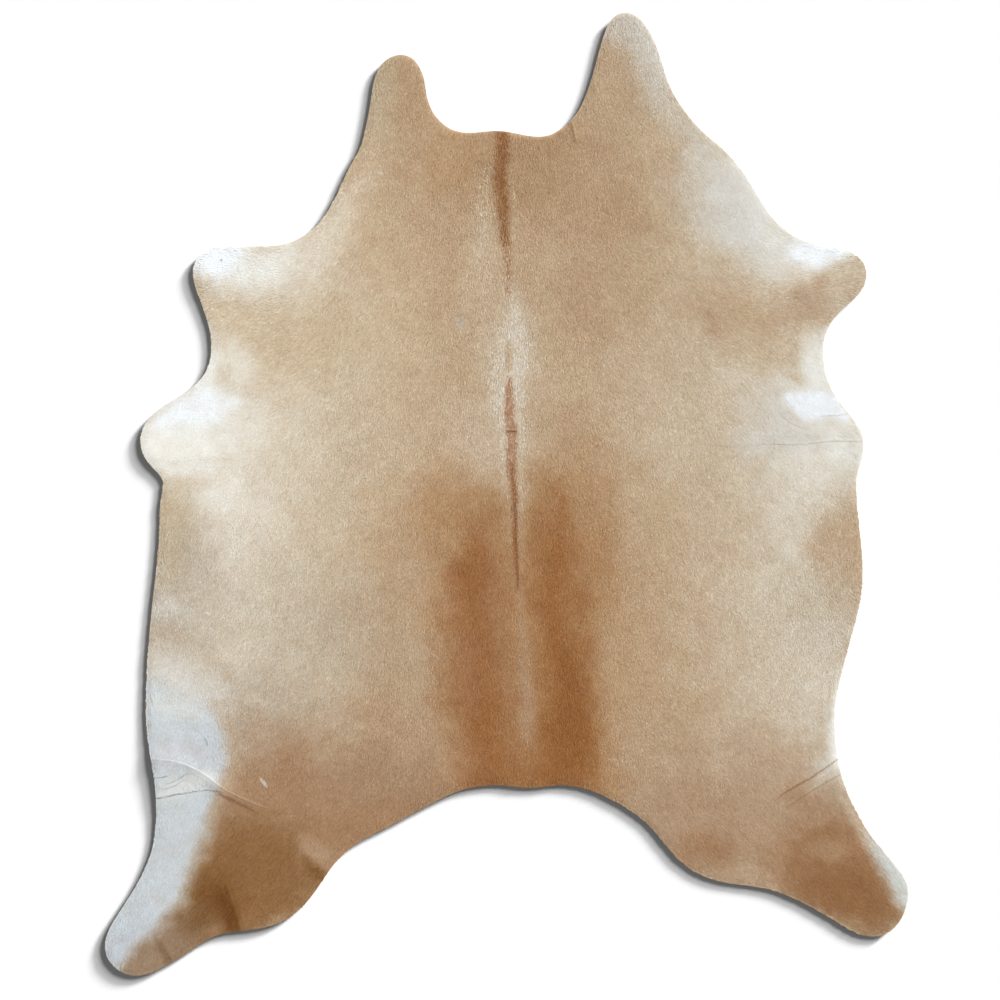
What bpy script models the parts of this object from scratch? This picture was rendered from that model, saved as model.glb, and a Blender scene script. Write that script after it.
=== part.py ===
"""Hide rug: one whole tanned skin with its hair on, lying flat.

The skin is a single sheet with nothing sewn on.  Its leather is thin at the
belly and thicker along the spine, and a short coat lies on it, neck to rump.
The solid is the leather with the coat on it, so it reaches as far as the hair.

Frame: metres, +Z up.  +Y runs to the neck and +X to the right-hand flank, as
seen from above.  The origin is on the floor under the middle of the outline.
"""

import math
from typing import NamedTuple

import bpy
import bmesh
import numpy as np
from mathutils import Vector
from mathutils.geometry import delaunay_2d_cdt, interpolate_bezier

MM = 0.001

# Driving sizes, in metres.
HIDE_LENGTH = 2.200          # right neck flap's tip to left hind shank's tip
BELLY_THICKNESS = 0.0040     # leather 2.0, coat 2.0
SPINE_THICKNESS = 0.0052     # leather 2.8, coat 2.4
SPINE_HALF_WIDTH = 0.480     # where the back has thinned out to the belly
CUT_EDGE = 0.0022            # height of the cut leather at the rim
EDGE_ROLL = 0.007            # width over which the coat rolls down to the rim
RIDGE_FILL = 0.25            # share of a ridge that is skin, the rest lifts

# Mesh spacing, in metres.
RIM_STEP = 0.025
FIELD_STEP = 0.062
CREASE_STEP = 0.017
CLOSEST = 0.0048             # no two points of the sheet are nearer than this
HANDLE_SHARE = 0.37          # curve handle length, as a share of the chord

HIDE_COLOUR = (0.50, 0.335, 0.20, 1.0)
HIDE_ROUGHNESS = 0.72


class Landmark(NamedTuple):
    """A point of the outline, millimetres, with the curve's heading there."""

    place: str
    x: float
    y: float
    heading: float           # degrees, anticlockwise from +X


class Crease(NamedTuple):
    """A fold line: raised where rise is positive, pressed in where negative."""

    place: str
    path: tuple              # points in millimetres, from the rim inwards
    rise: float              # millimetres
    half_width: float        # millimetres
    from_rim: bool           # True: full height at the first point


class Lift(NamedTuple):
    """A stretch of the skin that stands a little off the floor."""

    place: str
    x: float
    y: float
    radius: float            # millimetres
    rise: float              # millimetres


# The outline runs clockwise from the middle of the neck.
NECK_RIGHT = (
    Landmark("neck, middle", -22, 830, 0),
    Landmark("neck, right of middle", 79, 817, 2),
    Landmark("flap root, inside", 136, 844, 40),
    Landmark("flap, inside", 186, 924, 70),
    Landmark("flap, inside, high", 228, 1064, 69),
    Landmark("flap tip", 271, 1100, 0),
    Landmark("flap, outside, high", 324, 1061, -58),
    Landmark("flap root, outside", 390, 901, -57),
    Landmark("withers", 470, 810, -39),
    Landmark("shoulder", 580, 673, -59),
)
FORE_LEG_RIGHT = (
    Landmark("shank root", 648, 595, -36),
    Landmark("shank, upper edge", 717, 571, -9),
    Landmark("shank tip", 822, 503, -90),
    Landmark("shank, lower edge", 774, 428, -139),
    Landmark("armpit", 723, 330, -90),
    Landmark("forearm", 747, 231, -61),
    Landmark("elbow", 815, 110, -90),
)
FLANK_RIGHT = (
    Landmark("nip behind the elbow", 799, 23, -90),
    Landmark("belly", 814, -178, -90),
    Landmark("belly, low", 779, -359, -104),
    Landmark("nip before the thigh", 749, -517, -90),
)
HIND_LEG_RIGHT = (
    Landmark("thigh", 818, -759, -58),
    Landmark("shank, upper edge", 882, -841, -51),
    Landmark("shank tip, side", 917, -912, -90),
    Landmark("shank tip, bottom", 840, -1011, 180),
    Landmark("shank, lower edge", 731, -963, 150),
    Landmark("knee", 556, -895, 173),
    Landmark("root", 415, -853, 145),
)
RUMP = (
    Landmark("right buttock", 340, -773, 131),
    Landmark("right of the tail", 246, -701, 152),
    Landmark("rump, right", 122, -665, 180),
    Landmark("dip beside the tail", 49, -671, 180),
    Landmark("tail root", -17, -665, 180),
    Landmark("left of the tail", -129, -686, 204),
    Landmark("left buttock", -289, -769, 206),
)
HIND_LEG_LEFT = (
    Landmark("root", -374, -824, 224),
    Landmark("inside of the thigh", -473, -949, 222),
    Landmark("knee", -555, -990, 193),
    Landmark("nip below the knee", -642, -1003, 192),
    Landmark("shank, lower edge", -759, -1066, 208),
    Landmark("shank tip, bottom", -847, -1100, 180),
    Landmark("shank tip, side", -917, -1033, 90),
    Landmark("shank, upper edge", -882, -951, 58),
    Landmark("shank root", -822, -846, 68),
    Landmark("hock", -800, -713, 90),
)
FLANK_LEFT = (
    Landmark("thigh", -824, -498, 90),
    Landmark("belly, low", -813, -283, 85),
    Landmark("belly", -792, -41, 90),
    Landmark("nip behind the elbow", -785, 28, 90),
)
FORE_LEG_LEFT = (
    Landmark("elbow, rear", -803, 55, 134),
    Landmark("elbow", -836, 121, 90),
    Landmark("forearm", -792, 195, 36),
    Landmark("below the armpit", -701, 261, 48),
    Landmark("armpit", -674, 341, 90),
    Landmark("shank, lower edge", -690, 416, 107),
    Landmark("shank tip", -716, 510, 90),
    Landmark("shank corner", -694, 551, 42),
    Landmark("shank, upper edge", -609, 566, 2),
    Landmark("shank root", -477, 583, 27),
)
NECK_LEFT = (
    Landmark("shoulder", -422, 628, 52),
    Landmark("withers", -346, 769, 59),
    Landmark("flap, outside", -314, 878, 78),
    Landmark("flap, outside, high", -294, 969, 64),
    Landmark("flap tip", -239, 1004, 0),
    Landmark("flap, inside, high", -193, 963, -68),
    Landmark("flap, inside", -180, 902, -74),
    Landmark("flap root, inside", -142, 844, -38),
    Landmark("neck, left of middle", -88, 826, 0),
)
OUTLINE = (NECK_RIGHT + FORE_LEG_RIGHT + FLANK_RIGHT + HIND_LEG_RIGHT + RUMP
           + HIND_LEG_LEFT + FLANK_LEFT + FORE_LEG_LEFT + NECK_LEFT)

CREASES = (
    Crease("left hock, fold",
           ((-809, -610), (-774, -607), (-740, -615), (-700, -641), (-650, -677), (-598, -702), (-522, -734)),
           5.5, 17, True),
    Crease("left hock, groove under the fold",
           ((-655, -692), (-609, -716), (-556, -741)),
           -1.5, 9, False),
    Crease("left hock, second fold",
           ((-803, -674), (-758, -668), (-716, -664), (-678, -668)),
           2.6, 13, True),
    Crease("left hock, second groove",
           ((-801, -694), (-760, -689), (-712, -681), (-650, -681)),
           -1.5, 9, True),
    Crease("right hock, fold between its two lines",
           ((763, -627), (712, -656), (664, -686), (630, -712)),
           4.2, 16, True),
    Crease("right hock, upper groove",
           ((757, -611), (715, -640), (671, -664), (621, -695)),
           -1.6, 9, True),
    Crease("right hock, lower groove",
           ((767, -643), (717, -671), (682, -690), (655, -708)),
           -1.2, 9, True),
    Crease("right flank, fold",
           ((811, 137), (740, 134), (660, 132), (580, 126)),
           2.4, 20, True),
    Crease("right flank, groove",
           ((811, 120), (740, 119), (660, 117), (560, 110), (420, 106), (215, 112)),
           -1.4, 11, True),
    Crease("right elbow, short groove",
           ((776, 183), (745, 178), (715, 175)),
           -1.3, 9, True),
    Crease("right elbow, curved groove",
           ((616, 192), (648, 169), (698, 142)),
           -1.2, 10, False),
    Crease("left elbow, low ridge",
           ((-795, 78), (-720, 84), (-610, 82)),
           2.0, 18, True),
    Crease("neck, pucker",
           ((149, 850), (156, 824), (161, 797)),
           2.2, 12, True),
    Crease("left thigh, dimple at the inner edge",
           ((-420, -884), (-438, -852), (-462, -824)),
           -1.6, 17, True),
    Crease("left knee, dimple at the lower edge",
           ((-608, -997), (-622, -950), (-640, -908)),
           -1.6, 19, True),
    Crease("left shank, wrinkle",
           ((-765, -1066), (-780, -1042), (-792, -1020)),
           1.8, 14, True),
)

LIFTS = (
    Lift("left hind shank tip", -905, -1075, 150, 3.5),
    Lift("left hock, outer edge", -830, -650, 140, 4.0),
    Lift("left knee, lower edge", -560, -1020, 130, 3.0),
    Lift("left elbow", -850, 120, 120, 3.0),
    Lift("left fore shank", -740, 520, 120, 2.5),
    Lift("left neck flap tip", -240, 1030, 120, 2.5),
    Lift("right neck flap tip", 280, 1120, 140, 3.0),
    Lift("right fore shank tip", 850, 500, 120, 3.0),
    Lift("right elbow", 840, 110, 110, 2.5),
    Lift("right hock, outer edge", 790, -640, 130, 3.5),
    Lift("right hind shank tip", 930, -960, 150, 3.0),
)


def clear_scene():
    """Start from an empty file."""
    for old in list(bpy.data.objects):
        bpy.data.objects.remove(old, do_unlink=True)


def heading_vector(degrees):
    """Unit vector of a heading."""
    angle = math.radians(degrees)
    return Vector((math.cos(angle), math.sin(angle)))


def outline_curve(samples_per_span=24):
    """Fine points of the closed outline, metres, in drawn order."""
    points = []
    for here, there in zip(OUTLINE, OUTLINE[1:] + OUTLINE[:1]):
        start = Vector((here.x, here.y)) * MM
        end = Vector((there.x, there.y)) * MM
        handle = (end - start).length * HANDLE_SHARE
        out = start + heading_vector(here.heading) * handle
        back = end - heading_vector(there.heading) * handle
        span = interpolate_bezier(start, out, back, end, samples_per_span + 1)
        points.extend(span[:-1])
    return np.array([(p.x, p.y) for p in points])


def fit_to_size(points):
    """Centre the outline on its box and give it the hide's length."""
    low, high = points.min(axis=0), points.max(axis=0)
    centre = (low + high) / 2
    scale = HIDE_LENGTH / (high[1] - low[1])
    return centre, scale


def even_steps(points, step, closed):
    """Resample a polyline at an even pitch near step."""
    ring = np.vstack([points, points[:1]]) if closed else points
    lengths = np.linalg.norm(np.diff(ring, axis=0), axis=1)
    travel = np.concatenate([[0.0], np.cumsum(lengths)])
    count = max(2, round(travel[-1] / step))
    marks = np.linspace(0.0, travel[-1], count + 1)
    if closed:
        marks = marks[:-1]
    return np.column_stack([np.interp(marks, travel, ring[:, axis]) for axis in (0, 1)])


def smooth_path(path, per_span=8):
    """A smooth curve through a crease's points (Catmull-Rom), in metres."""
    knots = [Vector(p) * MM for p in path]
    padded = [2 * knots[0] - knots[1], *knots, 2 * knots[-1] - knots[-2]]
    fine = []
    for before, start, end, after in zip(padded, padded[1:], padded[2:], padded[3:]):
        out = start + (end - before) / 6
        back = end - (after - start) / 6
        fine.extend(interpolate_bezier(start, out, back, end, per_span + 1)[:-1])
    fine.append(knots[-1])
    return np.array([(p.x, p.y) for p in fine])


def left_normals(points, closed):
    """Unit normals to the left of travel, one for each point."""
    if closed:
        along = np.roll(points, -1, axis=0) - np.roll(points, 1, axis=0)
    else:
        along = np.gradient(points, axis=0)
    along /= np.linalg.norm(along, axis=1)[:, None]
    return np.column_stack([-along[:, 1], along[:, 0]])


def nearest_on(path, points):
    """Distance from each point to a polyline, and how far along it (0 to 1)."""
    starts, steps = path[:-1], np.diff(path, axis=0)
    lengths = np.linalg.norm(steps, axis=1)
    travel = np.concatenate([[0.0], np.cumsum(lengths)])
    offset = points[:, None, :] - starts[None, :, :]
    share = (offset * steps).sum(axis=2) / (lengths ** 2)
    share = np.clip(share, 0.0, 1.0)
    gap = np.linalg.norm(offset - share[..., None] * steps, axis=2)
    best = gap.argmin(axis=1)
    rows = np.arange(len(points))
    along = (travel[best] + share[rows, best] * lengths[best]) / travel[-1]
    return gap[rows, best], along


def inside(outline, points):
    """True for each point inside the closed outline (even-odd crossings)."""
    x, y = points[:, 0, None], points[:, 1, None]
    ax, ay = outline[:, 0], outline[:, 1]
    bx, by = np.roll(ax, -1), np.roll(ay, -1)
    crosses = (ay > y) != (by > y)
    rise = np.where(by == ay, 1.0, by - ay)
    hit = x < (bx - ax) * (y - ay) / rise + ax
    return (crosses & hit).sum(axis=1) % 2 == 1


def soft_bump(ratio):
    """1 at ratio 0, falling smoothly to 0 at ratio 1 and beyond."""
    return np.cos(np.clip(ratio, 0.0, 1.0) * math.pi / 2) ** 2


def crease_strength(crease, along):
    """A crease fades out at its inner end, and at both ends off the rim."""
    fade = 0.35
    strength = np.clip((1.0 - along) / fade, 0.0, 1.0)
    if not crease.from_rim:
        strength = np.minimum(strength, np.clip(along / fade, 0.0, 1.0))
    return strength * strength * (3 - 2 * strength)


def relief(points, scale, centre):
    """Underside height, and the change of thickness, at each point."""
    underside = np.zeros(len(points))
    swell = np.zeros(len(points))
    for crease in CREASES:
        path = (smooth_path(crease.path) - centre) * scale
        gap, along = nearest_on(path, points)
        shape = soft_bump(gap / (crease.half_width * MM)) * crease_strength(crease, along)
        height = crease.rise * MM * shape
        if crease.rise > 0:
            underside = np.maximum(underside, height * (1 - RIDGE_FILL))
            swell = np.maximum(swell, height * RIDGE_FILL)
        else:
            swell = swell + height
    for lift in LIFTS:
        spot = (np.array([lift.x, lift.y]) * MM - centre) * scale
        gap = np.linalg.norm(points - spot, axis=1)
        underside = underside + lift.rise * MM * soft_bump(gap / (lift.radius * MM))
    return underside, swell


def thickness(points):
    """Leather and coat together: thick on the back, thin at the belly."""
    back = soft_bump(np.abs(points[:, 0]) / SPINE_HALF_WIDTH)
    return BELLY_THICKNESS + (SPINE_THICKNESS - BELLY_THICKNESS) * back


def crease_rows(scale, centre):
    """Points along every crease: its middle line, its sides and its feet."""
    rows = []
    for crease in CREASES:
        line = even_steps((smooth_path(crease.path) - centre) * scale, CREASE_STEP, closed=False)
        sideways = left_normals(line, closed=False) * crease.half_width * MM
        shares = (0.0, 0.5, -0.5, 1.0, -1.0) if crease.half_width > 12 else (0.0, 1.0, -1.0)
        rows.extend(line + sideways * share for share in shares)
    return np.vstack(rows)


def field_points(low, high):
    """An even triangular field of points over the outline's box."""
    row_pitch = FIELD_STEP * math.sqrt(3) / 2
    rows = []
    for number, y in enumerate(np.arange(low[1], high[1], row_pitch)):
        shift = FIELD_STEP / 2 * (number % 2)
        x = np.arange(low[0] + shift, high[0], FIELD_STEP)
        rows.append(np.column_stack([x, np.full(len(x), y)]))
    return np.vstack(rows)


def add_apart(kept, extra, gap):
    """Add the extra points that stay at least gap from all kept ones."""
    kept = list(kept)
    for point in extra:
        nearest = np.linalg.norm(np.array(kept) - point, axis=1).min()
        if nearest >= gap:
            kept.append(point)
    return np.array(kept)


def sheet_points(outline, scale, centre):
    """All points of the flat sheet, the rim's first."""
    rim = even_steps(outline, RIM_STEP, closed=True)
    roll = rim - left_normals(rim, closed=True) * EDGE_ROLL
    roll = roll[inside(rim, roll)]
    closed_rim = np.vstack([rim, rim[:1]])

    creases = crease_rows(scale, centre)
    creases = creases[inside(rim, creases)]
    clear = nearest_on(closed_rim, creases)[0] > EDGE_ROLL + CLOSEST
    inner = add_apart(roll, creases[clear], CLOSEST)

    field = field_points(outline.min(axis=0), outline.max(axis=0))
    field = field[inside(rim, field)]
    clear = nearest_on(closed_rim, field)[0] > FIELD_STEP * 0.45
    inner = add_apart(inner, field[clear], FIELD_STEP * 0.45)
    return np.vstack([rim, inner]), len(rim)


def flat_sheet(points, rim_count):
    """A bmesh of the sheet as one flat skin of triangles on the floor."""
    rim = list(range(rim_count))
    corners, _, faces, _, _, _ = delaunay_2d_cdt(
        [Vector(p) for p in points], [], [rim], 1, 1e-6)
    sheet = bmesh.new()
    verts = [sheet.verts.new((corner.x, corner.y, 0.0)) for corner in corners]
    for face in faces:
        sheet.faces.new([verts[index] for index in face])
    loose = [vert for vert in sheet.verts if not vert.link_faces]
    bmesh.ops.delete(sheet, geom=loose, context="VERTS")
    return sheet


def give_thickness(sheet, scale, centre):
    """Extrude the skin to a closed sheet and raise its folds and lifts."""
    raised = bmesh.ops.extrude_face_region(sheet, geom=sheet.faces[:], use_keep_orig=True)
    top = [item for item in raised["geom"] if isinstance(item, bmesh.types.BMVert)]
    top_set = set(top)
    bottom = [vert for vert in sheet.verts if vert not in top_set]
    rim_top = {vert for vert in top if any(edge.other_vert(vert) not in top_set
                                           for edge in vert.link_edges)}
    for verts, is_top in ((bottom, False), (top, True)):
        points = np.array([(vert.co.x, vert.co.y) for vert in verts])
        underside, swell = relief(points, scale, centre)
        body = thickness(points) + swell
        for number, vert in enumerate(verts):
            over = 0.0
            if is_top:
                over = CUT_EDGE if vert in rim_top else body[number]
            vert.co.z = underside[number] + over
    bmesh.ops.recalc_face_normals(sheet, faces=sheet.faces[:])


def hide_material():
    """The coat's middle colour."""
    material = bpy.data.materials.new("hide_coat")
    material.use_nodes = True
    shader = material.node_tree.nodes["Principled BSDF"]
    shader.inputs["Base Color"].default_value = HIDE_COLOUR
    shader.inputs["Roughness"].default_value = HIDE_ROUGHNESS
    shader.inputs["Metallic"].default_value = 0.0
    return material


def build_hide():
    """The one piece: the whole hide as a closed sheet."""
    drawn = outline_curve()
    centre, scale = fit_to_size(drawn)
    outline = (drawn - centre) * scale
    points, rim_count = sheet_points(outline, scale, centre)
    sheet = flat_sheet(points, rim_count)
    give_thickness(sheet, scale, centre)

    mesh = bpy.data.meshes.new("hide")
    sheet.to_mesh(mesh)
    sheet.free()
    mesh.shade_smooth()
    mesh.set_sharp_from_angle(angle=math.radians(40))
    mesh.materials.append(hide_material())
    hide = bpy.data.objects.new("hide", mesh)
    bpy.context.scene.collection.objects.link(hide)
    return hide


clear_scene()
build_hide()
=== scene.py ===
"""Looks of a hair-on cowhide rug: its skin, its coat and the studio round it.

The hide lies flat with its hair side up.  The skin is one cut sheet of tanned
leather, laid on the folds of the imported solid.  The coat is short locks of hair
that lie from the neck towards the rump and out along the legs.

Frame: metres, +Z up.  +Y runs to the neck and +X to the right-hand flank, as
seen from above.  The tables give places in millimetres and headings in degrees,
anticlockwise from +X.
"""

import logging
import math
from collections.abc import Sequence
from dataclasses import dataclass
from enum import Enum
from typing import NamedTuple

import bmesh
import bpy
import numpy as np
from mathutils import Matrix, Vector
from mathutils.bvhtree import BVHTree
from mathutils.geometry import interpolate_bezier
from mathutils.kdtree import KDTree

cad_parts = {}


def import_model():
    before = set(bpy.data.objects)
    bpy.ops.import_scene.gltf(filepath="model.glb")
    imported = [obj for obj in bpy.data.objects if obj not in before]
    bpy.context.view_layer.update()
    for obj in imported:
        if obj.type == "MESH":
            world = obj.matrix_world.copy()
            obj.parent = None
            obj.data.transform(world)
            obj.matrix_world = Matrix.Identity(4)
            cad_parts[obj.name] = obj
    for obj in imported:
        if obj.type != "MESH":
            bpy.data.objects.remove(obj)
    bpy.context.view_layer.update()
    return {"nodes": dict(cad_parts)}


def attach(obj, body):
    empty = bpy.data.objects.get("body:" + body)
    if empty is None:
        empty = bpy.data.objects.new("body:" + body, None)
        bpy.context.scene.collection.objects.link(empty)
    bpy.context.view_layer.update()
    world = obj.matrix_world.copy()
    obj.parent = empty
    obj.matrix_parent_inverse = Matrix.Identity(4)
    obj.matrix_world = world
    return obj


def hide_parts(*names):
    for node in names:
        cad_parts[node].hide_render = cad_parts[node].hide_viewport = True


LOG = logging.getLogger("hide")

Array = np.ndarray
Socket = bpy.types.NodeSocket
Ends = tuple[float, float]  # the least and the most of something
Rgb = tuple[float, float, float]
Layers = tuple[tuple[float, float, int], ...]  # strength, wave length and seed of random waves

MM = 0.001
MERGE = 1e-5  # corners this close are one
SEED = 2207
COAT_ALBEDO = 0.722  # what the brightest display colour reflects

HIDE_NODE = "hide"
HIDE_BODY = "root"

# The photograph's framing.
PHOTO_SIDE = 1000  # pixels
PIXEL = 2.287 * MM  # what one pixel covers on the floor
ORIGIN_PIXEL = (506.5, 494.1)  # where the frame's origin shows


# ---------------------------------------------------------------------------
# Colours and markings of the coat
# ---------------------------------------------------------------------------


class Tone(Enum):
    """Colours of the hair, as red, green and blue on a display, 0 to 255."""

    WHITE = (241, 245, 248)
    BRIGHT = (238, 242, 243)
    COOL_WHITE = (198, 203, 205)
    SLATE = (189, 194, 200)
    SMOKE = (207, 208, 202)
    SILVER = (196, 197, 200)
    MILK = (218, 221, 218)
    CREAM = (235, 233, 224)
    IVORY = (227, 222, 210)
    PEARL = (216, 213, 206)
    PALE = (222, 213, 197)
    SHELL = (212, 200, 181)
    BEIGE = (203, 186, 161)
    FOREARM = (197, 176, 146)
    ASH = (205, 198, 186)
    TAUPE = (197, 183, 164)
    DRAB = (180, 165, 145)
    OLIVE = (191, 174, 147)
    FAIR = (206, 187, 158)
    TAN_PALE = (198, 180, 156)
    SAND = (195, 174, 145)
    WHEAT = (193, 168, 137)
    BUFF = (189, 163, 133)
    TAN = (189, 161, 129)
    NECK_TAN = (173, 141, 106)
    FAWN = (174, 143, 114)
    HONEY = (172, 132, 92)
    UMBER = (160, 121, 87)
    NUTBROWN = (180, 153, 125)
    THIGH = (164, 132, 102)
    THIGH_TAN = (181, 154, 126)
    SADDLE = (159, 113, 75)
    CARAMEL = (153, 102, 58)
    DEEP_CARAMEL = (142, 91, 47)
    CHESTNUT = (140, 92, 54)
    RUSSET = (170, 128, 98)
    RUST = (136, 78, 42)
    PINK_TAN = (178, 143, 111)
    BROWN = (144, 103, 66)
    KHAKI = (146, 121, 96)
    BARK = (118, 90, 64)
    COCOA = (135, 96, 58)
    DARK_BROWN = (103, 64, 25)
    FROST = (221, 212, 198)
    INK = (120, 122, 122)

    @property
    def display(self) -> Array:
        """The colour as display values from 0 to 1."""
        return np.array(self.value) / 255.0


class GroundStop(NamedTuple):
    """The coat's ground colour at a distance across the hide."""

    x: float
    tone: Tone


class Patch(NamedTuple):
    """A soft oval marking."""

    place: str
    x: float
    y: float
    reach_x: float
    reach_y: float
    tone: Tone
    strength: float
    softness: float = 0.8  # share of the reach over which the edge fades
    turn: float = 0.0  # degrees


class Streak(NamedTuple):
    """A soft band along a path of (x, y, half width)."""

    place: str
    path: tuple[tuple[float, float, float], ...]
    tone: Tone
    strength: float
    softness: float  # the distance over which the edge fades


GROUND = (
    GroundStop(-800, Tone.TAUPE),
    GroundStop(-620, Tone.SHELL),
    GroundStop(-440, Tone.BEIGE),
    GroundStop(-280, Tone.WHEAT),
    GroundStop(-110, Tone.TAN),
    GroundStop(200, Tone.TAN),
    GroundStop(420, Tone.SAND),
    GroundStop(540, Tone.BEIGE),
    GroundStop(690, Tone.SHELL),
    GroundStop(800, Tone.OLIVE),
)

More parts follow.
